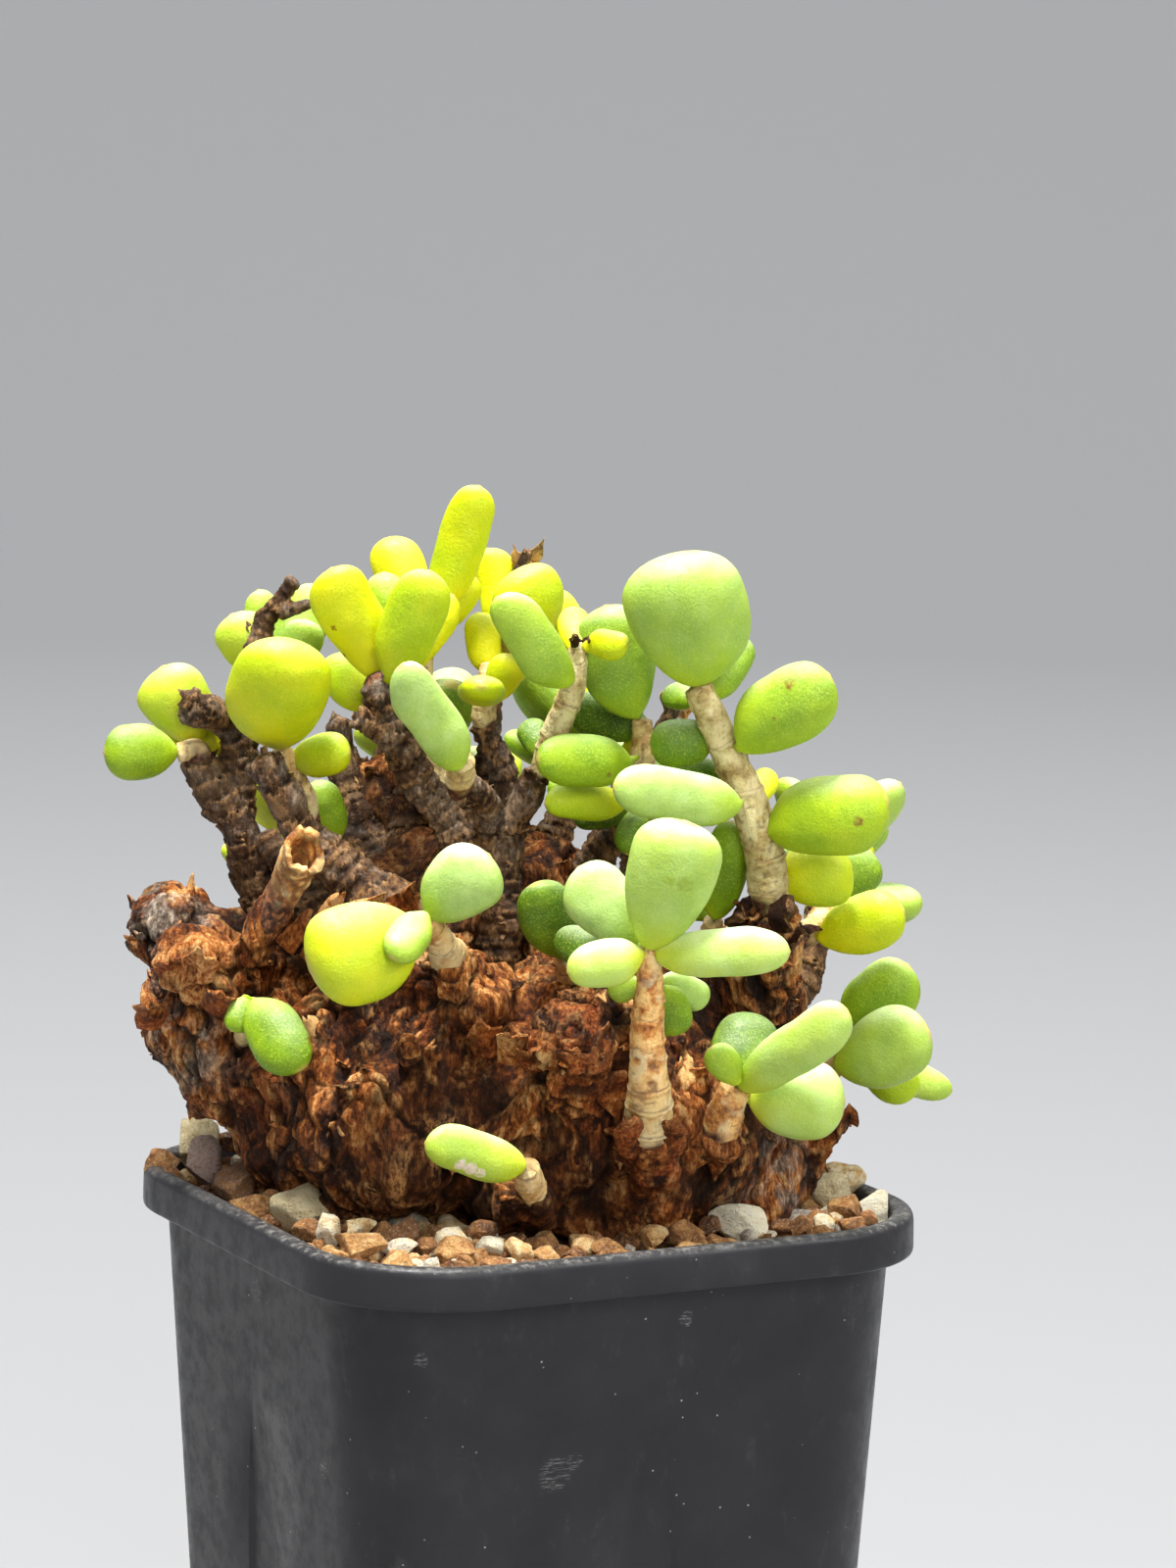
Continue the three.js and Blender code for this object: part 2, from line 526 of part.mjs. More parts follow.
    leaves: [
      [seen(284, 762, -2), seen(286, 654, -8), 11, 0.56],
      [seen(298, 774, 0), seen(357, 767, -3), 4.8, 0.56],
    ] },
  { name: 'shoot_far_left', colour: 'yellow_leaf', radii: [1.4, 1.2, 1],
    stem: [seen(206, 778, 6), seen(200, 766, 6), seen(182, 768, 5.5)],
    leaves: [
      [seen(180, 767, 5), seen(106, 768, 3), 6.2, 0.56],
      [seen(203, 757, 8), seen(166, 680, 8), 7.6, 0.6],
      [seen(206, 762, 9), seen(236, 740, 12), 5, 0.6],
      [seen(198, 762, 9), seen(156, 742, 11), 4, 0.6],
    ] },
  { name: 'shoot_top', colour: 'yellow_leaf', radii: [1.8, 1.5, 1.2, 1],
    stem: [seen(462, 850, 6), seen(436, 760, 9), seen(430, 690, 9), seen(436, 630, 9)],
    leaves: [
      [seen(446, 625, 6), seen(489, 496, 5), 5.3, 0.68],
      [seen(428, 630, 12), seen(392, 550, 16), 5.8, 0.6],
      [seen(444, 640, 10), seen(484, 588, 10), 4.2, 0.6],
      [seen(430, 650, 12), seen(352, 612, 16), 5, 0.6],
      [seen(420, 680, 11), seen(350, 650, 14), 6, 0.6],
    ] },
  { name: 'shoot_middle', colour: 'yellow_leaf', radii: [1.4, 1.2, 1],
    stem: [seen(493, 745, 5), seen(496, 712, 4), seen(500, 680, 6)],
    leaves: [
      [seen(494, 708, 2), seen(491, 700, -6), 5.2, 0.55],
      [seen(504, 716, 4), seen(522, 668, 3), 3.8, 0.6],
      [seen(500, 688, 7), seen(488, 625, 9), 4, 0.6],
      [seen(500, 690, 9), seen(536, 672, 11), 4.4, 0.6],
    ] },
  { name: 'shoot_upper_middle', colour: 'yellow_leaf', radii: [1.2, 1, 0.9],
    stem: [seen(511, 660, 12), seen(530, 648, 8), seen(560, 640, 5)],
    leaves: [
      [seen(560, 642, 3), seen(522, 584, 2), 7.6, 0.6],
      [seen(545, 640, 9), seen(590, 618, 8), 5.4, 0.6],
      [seen(524, 650, 11), seen(497, 560, 14), 4.6, 0.6],
    ] },
  { name: 'shoot_left_back', colour: 'yellow_leaf', radii: [1.1, 1, 0.9],
    stem: [seen(252, 705, 9), seen(272, 694, 11), seen(300, 690, 12)],
    leaves: [
      [seen(270, 690, 10), seen(236, 627, 10), 6.2, 0.6],
      [seen(284, 684, 13), seen(264, 602, 15), 4, 0.6],
      [seen(302, 684, 12), seen(312, 632, 12), 4.4, 0.6],
      [seen(300, 690, 14), seen(318, 596, 19), 5, 0.6],
    ] },
  { name: 'shoot_shaded', colour: 'green_leaf', radii: [1.3, 1],
    stem: [seen(350, 900, 5), seen(342, 862, 6)],
    leaves: [
      [seen(342, 860, 6), seen(322, 797, 5), 4.7, 0.6],
    ] },
  { name: 'shoot_under_leaf', colour: 'green_leaf', radii: [1.3, 1],
    stem: [seen(582, 1000, -8), seen(578, 978, -12)],
    leaves: [
      [seen(577, 976, -12), seen(546, 901, -14), 6, 0.6],
    ] },
  { name: 'shoot_right_shade', colour: 'green_leaf', radii: [1.3, 1],
    stem: [seen(722, 985, 0), seen(728, 940, -4)],
    leaves: [
      [seen(730, 936, -5), seen(748, 838, -7), 5, 0.6],
      [seen(724, 936, -2), seen(690, 900, 2), 4.5, 0.6],
    ] },
  { name: 'shoot_right_side', colour: 'green_leaf', radii: [1.5, 1.2, 1],
    stem: [seen(812, 960, -3), seen(832, 946, -2), seen(842, 920, 2)],
    leaves: [
      [seen(836, 958, -4), seen(922, 928, -6), 6.5, 0.6],
      [seen(846, 918, 3), seen(888, 868, 4), 6, 0.6],
      [seen(842, 914, 5), seen(880, 908, 11), 5, 0.6],
    ] },
  { name: 'shoot_low_right', colour: 'green_leaf', radii: [1.8, 1.5, 1.2],
    stem: [seen(828, 1105, -2), seen(850, 1084, -2), seen(868, 1068, 0)],
    leaves: [
      [seen(852, 1088, -5), seen(948, 1052, -8), 8.2, 0.58],
      [seen(864, 1058, -1), seen(926, 984, -2), 6.8, 0.6],
      [seen(870, 1074, 1), seen(935, 1116, 2), 5, 0.6],
      [seen(862, 1080, 3), seen(971, 1114, 7), 4, 0.56],
    ] },
];

// Shoots on the far side, which the photograph doesn't show: tip of the old limb, and end of the shoot
const FAR_SHOOTS = [
  { name: 'shoot_far_01', from: above(-24, 20, 27), to: above(-25, 22, 34), leaves: 5 },
  { name: 'shoot_far_02', from: above(-6, 28, 29), to: above(-7, 29, 36), leaves: 5 },
  { name: 'shoot_far_03', from: above(11, 26, 35), to: above(10, 27, 41), leaves: 5 },
  { name: 'shoot_far_04', from: above(32, 16, 27), to: above(33, 17, 34), leaves: 6 },
  { name: 'shoot_far_05', from: above(5, 17, 41), to: above(5, 18, 47), leaves: 6 },
  { name: 'shoot_far_06', from: above(-12, 16, 41), to: above(-12, 17, 47), leaves: 5 },
];

// Leaves set round the end of a stem, each a golden turn on from the last, from its first seat up
const GOLDEN_TURN = 2.4;
const FIRST_SEAT = 0.3;
const LOW_LIFT = 0.1;
const HIGH_LIFT = 1.5;
const SEAT_OUT = 0.8;
const FAR_LEAF = { width: 5, moreWidth: 3, length: 7.5, moreLength: 3.5, widest: 0.6 };
const FAR_STEM_RADII = [1.5, 1.3, 1];
function farShoot({ name, from, to, leaves: count }, random) {
  const ahead = to.clone().sub(from).normalize();
  const side = new THREE.Vector3(0, 1, 0).cross(ahead).normalize();
  const over = new THREE.Vector3().crossVectors(ahead, side);
  const leaves = [];
  for (let i = 0; i < count; i += 1) {
    const turn = i * GOLDEN_TURN + 0.5 * random();
    const spread = side.clone().multiplyScalar(Math.cos(turn)).addScaledVector(over, Math.sin(turn));
    const up = i / (count - 1);
    const lift = THREE.MathUtils.lerp(LOW_LIFT, HIGH_LIFT, up);
    const out = spread.clone().addScaledVector(ahead, lift).normalize();
    const seat = from.clone().lerp(to, THREE.MathUtils.lerp(FIRST_SEAT, 1, up));
    seat.addScaledVector(spread, SEAT_OUT);
    const width = FAR_LEAF.width + FAR_LEAF.moreWidth * random();
    const length = FAR_LEAF.length + FAR_LEAF.moreLength * random();
    leaves.push([seat, seat.clone().addScaledVector(out, length), width, FAR_LEAF.widest, ahead]);
  }
  const base = from.clone().lerp(to, -FIRST_SEAT);
  return {
    name,
    colour: 'green_leaf',
    radii: FAR_STEM_RADII,
    stem: [base, from, to],
    leaves,
    rings: SMALL_LEAF_RINGS,
  };
}

// Larger stones on the grit: pixel, height of the middle above the rim, half sizes, colour
const STONES = [
  ['stone_cream_front', seenAtHeight(307, 1234, 0), [3.7, 2.7, 2.6], 'pale_stone'],
  ['stone_brown_left', seenAtHeight(245, 1210, -0.4), [3.2, 3, 2.3], 'brown_stone'],
  ['stone_cream_left', seenAtHeight(198, 1166, 0.6), [2.8, 2.6, 3], 'pale_stone'],
  ['stone_purple_left', seenAtHeight(206, 1187, 0.4), [2.3, 2.2, 2.9], 'brown_stone'],
  ['stone_brown_front', seenAtHeight(413, 1260, -0.8), [2.4, 1.9, 1.9], 'brown_stone'],
  ['stone_white_front', seenAtHeight(497, 1275, -1.2), [1.9, 1.6, 1.5], 'pale_stone'],
  ['stone_white_right', seenAtHeight(755, 1248, -0.8), [3.2, 2.2, 1.9], 'pale_stone'],
  ['stone_cream_right', seenAtHeight(850, 1218, -0.4), [2.6, 2.6, 2.3], 'pale_stone'],
  ['stone_white_far_right', seenAtHeight(896, 1232, -0.7), [2.6, 2.3, 2], 'pale_stone'],
];

// An angular stone
const STONE_UNEVEN = 0.13;
function stone(centre, radii, detail, grow) {
  const size = new THREE.Vector3(...radii);
  return solid(shaped(new THREE.IcosahedronGeometry(1, detail), (p) => {
    const waves = Math.sin(3.1 * p.x + centre.x) + Math.sin(3.7 * p.y + 2 * p.z + centre.y);
    const uneven = 1 + STONE_UNEVEN * waves;
    return p.clone().multiplyScalar(uneven).multiply(size).add(centre).addScaledVector(p, grow);
  }));
}

// The grit: a filling of the pot with a ring of small stones fused on top, every other one further in
const PEBBLES = 24;
const PEBBLE_FROM_WALL = 3.2;
const PEBBLE_INWARD = 3.6;
const PEBBLE_SIZE = 1.5;
const CORNER_REACH = 1.24;
function gritSolid(random) {
  const top = POT_HEIGHT - SOIL_BELOW_RIM;
  const inside = (z) => bodyHalf(z) - WALL - FIT_GAP;
  const filling = solid(squareTurned([
    [0, FLOOR + FIT_GAP], [inside(FLOOR), FLOOR + FIT_GAP],
    [inside(PANEL_TOP), PANEL_TOP], [inside(top - 2), top - 2], [inside(top - 2) - 1, top], [0, top],
  ]));
  const reach = inside(top) - PEBBLE_FROM_WALL;
  const pebbles = [];
  for (let i = 0; i < PEBBLES; i += 1) {
    const turn = (i / PEBBLES) * 2 * Math.PI + 0.1 * random();
    const square = Math.min(1 / Math.abs(Math.cos(turn)), 1 / Math.abs(Math.sin(turn)), CORNER_REACH);
    const out = (reach - PEBBLE_INWARD * (i % 2) * (0.6 + random())) * square;
    const size = [PEBBLE_SIZE + random(), PEBBLE_SIZE + random(), 0.8 * (PEBBLE_SIZE + random())];
    const place = new THREE.Vector3(out * Math.cos(turn), out * Math.sin(turn), top)
      .applyAxisAngle(new THREE.Vector3(0, 0, 1), POT_TURN);
    pebbles.push(stone(place, size, 0, 0));
  }
  return join([filling, ...pebbles]);
}

const toViewer = eye.clone().sub(RIM_CENTRE).normalize();

// A shoot's stem and leaves in one solid, grown outwards by a margin
function shootSolid({ stem, radii, leaves, rings = LEAF_RINGS }, grow) {
  const pieces = [limb(stem, radii, LIMB_SIDES, STEM_UNEVEN, grow)];
  for (const [seat, tip, width, widest, facing = toViewer] of leaves) {
    const steps = width < SMALL_LEAF_WIDTH ? SMALL_LEAF_RINGS : rings;
    pieces.push(leaf(nearest(stem, seat), seat, tip, width, widest, facing, steps, grow));
  }
  return join(pieces);
}

// The whole caudex, grown outwards by a margin: its wood ends flat in the grit, where the roots go on
function caudexSolid(grow) {
  const wood = join([
    ...LUMPS.map(([centre, radii, detail]) => lump(centre, radii, detail, grow)),
    ...[...LIMBS, ...FAR_LIMBS].map(([points, radii]) => (
      limb(points, radii, LIMB_SIDES, LIMB_UNEVEN, grow)
    )),
  ]);
  const below = new THREE.BoxGeometry(2 * RIM_WIDTH, 2 * RIM_WIDTH, POT_HEIGHT);
  below.translate(0, 0, POT_HEIGHT / 2 - SOIL_BELOW_RIM - FOOT_DEPTH - grow);
  const roots = ROOTS.map(([points, radii]) => limb(points, radii, ROOT_SIDES, ROOT_UNEVEN, grow));
  return join([wood.subtract(solid(shaped(below, (p) => p))), ...roots]);
}

const random = randomStream(SEED);
const part = new THREE.Group();
const pot = potSolid();
const caudex = caudexSolid(0);
const caudexRoom = caudexSolid(FIT_GAP);

part.add(mesh('pot', pot, 'pot'));
part.add(mesh('caudex', largest(caudex), 'bark'));

const space = potSpace();
let grit = gritSolid(random).subtract(caudexRoom);
let stoneRoom = caudexRoom;
for (const [name, centre, radii, colour] of STONES) {
  part.add(mesh(name, largest(stone(centre, radii, 1, 0).subtract(stoneRoom).intersect(space)), colour));
  const room = stone(centre, radii, 1, FIT_GAP);
  stoneRoom = stoneRoom.add(room);
  grit = grit.subtract(room);
}
part.add(mesh('grit', largest(grit), 'grit'));

const takenRooms = [];
const farRandom = randomStream(SEED + 1);
const shoots = [...SHOOTS, ...FAR_SHOOTS.map((entry) => farShoot(entry, farRandom))];
for (const shoot of shoots) {
  let whole = shootSolid(shoot, 0).subtract(caudexRoom);
  for (const room of takenRooms) whole = whole.subtract(room);
  part.add(mesh(shoot.name, largest(whole), shoot.colour));
  takenRooms.push(shootSolid(shoot, FIT_GAP));
}

export default part;
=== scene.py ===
import itertools
import math

import bmesh
import bpy
import numpy as np
from mathutils import Matrix, Vector
from mathutils.bvhtree import BVHTree
from mathutils.kdtree import KDTree


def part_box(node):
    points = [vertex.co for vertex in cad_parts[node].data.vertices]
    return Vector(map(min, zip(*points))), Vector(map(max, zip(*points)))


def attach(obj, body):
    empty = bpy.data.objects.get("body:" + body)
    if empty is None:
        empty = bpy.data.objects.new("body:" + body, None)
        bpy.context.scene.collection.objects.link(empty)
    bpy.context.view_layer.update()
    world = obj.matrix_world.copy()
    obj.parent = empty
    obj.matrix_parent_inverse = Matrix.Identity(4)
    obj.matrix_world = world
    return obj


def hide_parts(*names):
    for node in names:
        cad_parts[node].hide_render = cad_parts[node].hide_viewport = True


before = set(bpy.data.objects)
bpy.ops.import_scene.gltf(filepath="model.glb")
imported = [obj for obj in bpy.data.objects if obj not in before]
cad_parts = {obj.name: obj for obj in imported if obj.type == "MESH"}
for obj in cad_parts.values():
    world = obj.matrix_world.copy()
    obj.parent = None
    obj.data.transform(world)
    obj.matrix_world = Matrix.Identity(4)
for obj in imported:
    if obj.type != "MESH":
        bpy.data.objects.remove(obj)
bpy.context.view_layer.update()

# Driving dimensions, in millimetres, as in the solid model
MM = 0.001
POT_HEIGHT = 76
RIM_WIDTH = 70
RIM_CORNER = 15.6
BAND_HEIGHT = 4.6
BODY_TOP_WIDTH = 65.2
BASE_WIDTH = 55
WALL = 1.3
FLOOR = 1.6
RIM_LIP = 2.4
PANEL_TOP = 56
PANEL_DEPTH = 0.5
PANEL_TOP_HALF_WIDTH = 1.5
PANEL_SPREAD = 6.5
PANEL_EDGE = 0.5
POT_TURN = math.radians(26.5)
DRAIN_RADIUS = 3
DRAIN_OFFSET = 17
SOIL_BELOW_RIM = 2
FIT_GAP = 0.3
LUMP_RELIEF = 1.5

# Proportions of leaves: thickness for the width, width for the length of egg-shaped and slender ones
LEAF_THICKNESS = 0.62
EGG_WIDTH = 0.66
SLENDER_WIDTH = 0.41
GOLDEN_TURN = 2.4
SEED = 20417

# The photograph's camera
CAMERA_DISTANCE = 562
CAMERA_ELEVATION = math.radians(12.3)
CAMERA_ROLL = math.radians(-1)
FOCAL_PIXELS = 5295
FRAME_PIXELS = (1200, 1600)
RIM_CENTRE_PIXEL = (534, 1207)
SENSOR = 36


def unit(v):
    """A direction of length 1."""
    return v / np.linalg.norm(v)


def unit_rows(rows):
    """Directions of length 1, a row each."""
    return rows / np.linalg.norm(rows, axis=1)[:, None]


def lengthwise(p, share):
    """Points drawn together along z, so that noise over them is drawn out upwards."""
    return p * np.array([1, 1, share])


def with_settings(thing, **settings):
    """Gives settings to a node, modifier, lamp or camera, and hands it back."""
    for key, value in settings.items():
        setattr(thing, key, value)
    return thing


def rotation(first, second, angle):
    """The matrix that turns one axis towards another."""
    matrix = np.eye(3)
    matrix[first, first] = matrix[second, second] = math.cos(angle)
    matrix[second, first] = math.sin(angle)
    matrix[first, second] = -math.sin(angle)
    return matrix


def pixel_ray(x, y):
    """The way through a pixel of the photograph, in the camera's own directions."""
    across = (x - FRAME_PIXELS[0] / 2) / FOCAL_PIXELS
    up = (FRAME_PIXELS[1] / 2 - y) / FOCAL_PIXELS
    return np.array([across, up, -1])


def camera_axes():
    """The camera's right, up and back directions, as the rows of a matrix."""
    right = np.array([1.0, 0, 0])
    level = np.array([right, np.cross(TO_VIEWER, right), TO_VIEWER])
    aim = unit(pixel_ray(*RIM_CENTRE_PIXEL))
    yaw = math.atan2(aim[0], -aim[2])
    pitch = math.asin(aim[1])
    return rotation(0, 2, yaw) @ rotation(1, 2, pitch) @ rotation(0, 1, CAMERA_ROLL) @ level


UP = np.array([0, 0, 1.0])
TO_VIEWER = np.array([0, -math.cos(CAMERA_ELEVATION), math.sin(CAMERA_ELEVATION)])
AXES = camera_axes()
EYE = np.array([0, 0, POT_HEIGHT]) + TO_VIEWER * CAMERA_DISTANCE


def seen(x, y, depth):
    """The point behind a pixel of the photograph, at a depth in y (negative is nearer the viewer)."""
    ray = AXES.T @ pixel_ray(x, y)
    return EYE + ray * (depth - EYE[1]) / ray[1]


def seen_at_height(x, y, height):
    """The point behind a pixel at a height above the rim."""
    near, far = seen(x, y, -RIM_WIDTH), seen(x, y, RIM_WIDTH)
    return near + (far - near) * (POT_HEIGHT + height - near[2]) / (far[2] - near[2])


def above(x, y, height):
    """The point at a height above the rim."""
    return np.array([x, y, POT_HEIGHT + height], float)


def placed(routes, place):
    """Routes with their radii, from pixels with a depth or from places above the rim."""
    return [([place(*point) for point in points], radii) for points, radii in routes]


def random_stream(seed):
    """The same repeatable stream of numbers as in the solid model."""
    state = seed

    def draw():
        nonlocal state
        state = (state + 0x6D2B79F5) & 0xFFFFFFFF
        t = ((state ^ (state >> 15)) * (1 | state)) & 0xFFFFFFFF
        t = ((t + (((t ^ (t >> 7)) * (61 | t)) & 0xFFFFFFFF)) & 0xFFFFFFFF) ^ t
        return (t ^ (t >> 14)) / 4294967296

    return draw


def make_lumpiness():
    """The same broad lumps as on the solid model: waves of several lengths and directions."""
    draw = random_stream(SEED)
    waves = []
    for length in (17, 13, 9, 7, 5.5):
        direction = unit(np.array([draw() - 0.5, draw() - 0.5, draw() - 0.5])) * 2 * math.pi / length
        waves.append((direction, draw() * 2 * math.pi, length / 17))

    def lumpiness(p):
        return sum(size * np.sin(p @ direction + phase) for direction, phase, size in waves) / 1.6

    return lumpiness


lumpiness = make_lumpiness()


def hashed(cell, seed):
    """A repeatable number from 0 to 1 for every whole-numbered cell."""
    c = cell & 0xFFFFFFFF
    h = (c[:, 0] * 374761393 + c[:, 1] * 668265263 + c[:, 2] * 2147483647 + seed * 97) & 0xFFFFFFFF
    h = ((h ^ (h >> 13)) * 1274126177) & 0xFFFFFFFF
    return (h ^ (h >> 16)) / 4294967296


def smooth_noise(p, length, seed):
    """Smooth value noise from -1 to 1 over points in millimetres."""
    q = p / length + seed * 7.31
    cell = np.floor(q).astype(np.int64)
    f = q - cell
    f = f * f * f * (f * (f * 6 - 15) + 10)
    total = 0
    for offset in itertools.product((0, 1), repeat=3):
        weight = np.prod(np.where(offset, f, 1 - f), axis=1)
        total = total + weight * (2 * hashed(cell + np.array(offset), seed) - 1)
    return total


def wander(p, length, seed):
    """Smooth noise in three directions."""
    return np.stack([smooth_noise(p, length, seed + k) for k in range(3)], 1)


def plates(p, size, seed):
    """Uneven cells like torn plates: a tone for each, the way to its border, and its own tilt."""
    q = p / size + seed * 3.17
    cell = np.floor(q).astype(np.int64)
    first, second = np.full(len(p), 9.0), np.full(len(p), 9.0)
    tone, tilt = np.zeros(len(p)), np.zeros(len(p))
    for offset in itertools.product((-1, 0, 1), repeat=3):
        c = cell + np.array(offset)
        spot = np.stack([hashed(c, seed + k) for k in range(3)], 1)
        way = q - c - spot
        d = np.linalg.norm(way, axis=1)
        closer = d < first
        second = np.where(closer, first, np.minimum(second, d))
        tone = np.where(closer, hashed(c, seed + 3), tone)
        tilt = np.where(closer, (way * (2 * spot[:, ::-1] - 1)).sum(1), tilt)
        first = np.where(closer, d, first)
    return tone, second - first, tilt


def fractal(p, length, octaves, seed):
    """Smooth noise with finer and fainter noise on it."""
    return sum(smooth_noise(p, length / 2 ** k, seed + k) / 2 ** k for k in range(octaves)) / 1.5


def smoothstep(low, high, x):
    """0 up to low, 1 from high on, and a soft rise between."""
    t = np.clip((x - low) / (high - low), 0, 1)
    return t * t * (3 - 2 * t)


def nearest(points, seat):
    """The nearest point on a stem's route to a leaf's seat."""
    best = points[0]
    for a, b in zip(points, points[1:]):
        t = np.clip((seat - a) @ (b - a) / ((b - a) @ (b - a)), 0, 1)
        q = a + (b - a) * t
        if np.linalg.norm(q - seat) < np.linalg.norm(best - seat):
            best = q
    return best


def circle(count):
    """Evenly spaced angles of a full turn."""
    return np.linspace(0, 2 * math.pi, count, endpoint=False)


def route(points, step):
    """Evenly spaced places on a smooth curve through points, with their tangents and the length."""
    points = [np.asarray(p, float) for p in points]
    if len(points) == 2:
        dense = [points[0] + (points[1] - points[0]) * t for t in np.linspace(0, 1, 40)]
    else:
        dense = []
        ends = [2 * points[0] - points[1], *points, 2 * points[-1] - points[-2]]
        for p0, p1, p2, p3 in zip(ends, ends[1:], ends[2:], ends[3:]):
            d0, d1, d2 = (np.linalg.norm(b - a) ** 0.5 for a, b in ((p0, p1), (p1, p2), (p2, p3)))
            t1 = ((p1 - p0) / d0 - (p2 - p0) / (d0 + d1) + (p2 - p1) / d1) * d1
            t2 = ((p2 - p1) / d1 - (p3 - p1) / (d1 + d2) + (p3 - p2) / d2) * d1
            for t in np.linspace(0, 1, 24, endpoint=False):
                dense.append(p1 + t1 * t + (3 * (p2 - p1) - 2 * t1 - t2) * t ** 2
                             + (2 * (p1 - p2) + t1 + t2) * t ** 3)
        dense.append(points[-1])
    dense = np.array(dense)
    run = np.concatenate([[0], np.cumsum(np.linalg.norm(np.diff(dense, axis=0), axis=1))])
    count = max(4, round(run[-1] / step))
    at = np.linspace(0, run[-1], count + 1)
    places = np.stack([np.interp(at, run, dense[:, k]) for k in range(3)], 1)
    return places, unit_rows(np.gradient(places, axis=0)), at


def widths_along(radii, run):
    """The radius at every place of a curve, from evenly spaced ones."""
    return np.interp(run / run[-1], np.linspace(0, 1, len(radii)), radii)


def spokes_along(tangents, turns):
    """Spokes round every place of a curve, held steady along it."""
    side = np.cross([0, 1, 0], tangents[0])
    if np.linalg.norm(side) < 0.1:
        side = np.cross([1, 0, 0], tangents[0])
    sides = []
    for ahead in tangents:
        side = unit(side - ahead * (side @ ahead))
        sides.append(side)
    sides = np.array(sides)[:, None]
    over = np.cross(sides, tangents[:, None])
    return np.sin(turns)[:, None] * sides + np.cos(turns)[:, None] * over


def grid_faces(rings, sides, closed=True):
    """Quads between rings of points, then fans to a first and a last pole point."""
    faces = []
    for r in range(rings - 1):
        for s in range(sides):
            a, b = r * sides + s, r * sides + (s + 1) % sides
            faces.append((a, b, b + sides, a + sides))
    if closed:
        first, last = rings * sides, rings * sides + 1
        end = (rings - 1) * sides
        faces += [(first, (s + 1) % sides, s) for s in range(sides)]
        faces += [(last, end + s, end + (s + 1) % sides) for s in range(sides)]
    return faces


class Heap:
    """Collects shapes into one mesh, with a number of every kind at every vertex."""

    def __init__(self):
        self.points, self.faces, self.values, self.count = [], [], {}, 0

    def add(self, points, faces, **values):
        self.points.append(points)
        self.faces += [tuple(i + self.count for i in face) for face in faces]
        for key, value in values.items():
            column = np.broadcast_to(np.asarray(value, float), (len(points),))
            self.values.setdefault(key, []).append(column)
        self.count += len(points)

    def build(self, name):
        return make_object(name, np.concatenate(self.points), self.faces,
                           **{key: np.concatenate(columns) for key, columns in self.values.items()})


def linked(name, data):
    """A new object in the scene."""
    piece = bpy.data.objects.new(name, data)
    bpy.context.scene.collection.objects.link(piece)
    return piece


def smooth(piece):
    """Shades all faces of a piece smooth."""
    piece.data.polygons.foreach_set("use_smooth", [True] * len(piece.data.polygons))


def make_object(name, points, faces, **values):
    """A smooth mesh object from points in millimetres, with vertex attributes."""
    data = bpy.data.meshes.new(name)
    data.from_pydata((points * MM).tolist(), [], faces)
    store_all(data, **values)
    data.update()
    piece = linked(name, data)
    smooth(piece)
    return piece


def store_all(data, **values):
    """Keeps numbers of several kinds at every vertex."""
    for key, value in values.items():
        layer = data.attributes.get(key) or data.attributes.new(key, "FLOAT", "POINT")
        layer.data.foreach_set("value", np.asarray(value, np.float32))


def vectors_of(rows, key):
    """The vectors that a mesh's rows hold under a key."""
    flat = np.empty(len(rows) * 3, np.float32)
    rows.foreach_get(key, flat)
    return flat.reshape(-1, 3).astype(float)


def points_and_normals(data):
    """A mesh's points in millimetres and its normals."""
    return vectors_of(data.vertices, "co") / MM, vectors_of(data.vertex_normals, "vector")


def place_points(data, points):
    """Moves a mesh's points to places in millimetres."""
    data.vertices.foreach_set("co", (points * MM).astype(np.float32).ravel())
    data.update()


def face_out(piece):
    """Turns a mesh's faces to point outwards."""
    work = bmesh.new()
    work.from_mesh(piece.data)
    bmesh.ops.recalc_face_normals(work, faces=work.faces)
    work.to_mesh(piece.data)
    work.free()
    return piece


def modified(piece, kind, **settings):
    """Runs a modifier on a piece's mesh."""
    with_settings(piece.modifiers.new(kind.lower(), kind), **settings)
    data = bpy.data.meshes.new_from_object(piece.evaluated_get(bpy.context.evaluated_depsgraph_get()))
    piece.modifiers.clear()
    old = piece.data
    piece.data = data
    bpy.data.meshes.remove(old)


def finish_piece(piece, shader, slot, *nodes):
    """Gives a piece its material and body, and hides the nodes of the solid model that it stands for; the
    slot is not used.
    """
    piece.data.materials.clear()
    piece.data.materials.append(shader.material)
    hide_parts(*nodes)
    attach(piece, "root")
    return piece


# Materials

# How finely the borders of marks wander, in waves on a millimetre
PATCH_UNEVENNESS = 1.4


def srgb(r, g, b):
    """A colour given as it looks on screen, 0 to 255, as linear light."""
    shares = [c / 255 for c in (r, g, b)]
    return (*(c / 12.92 if c <= 0.04 else ((c + 0.055) / 1.055) ** 2.4 for c in shares), 1)


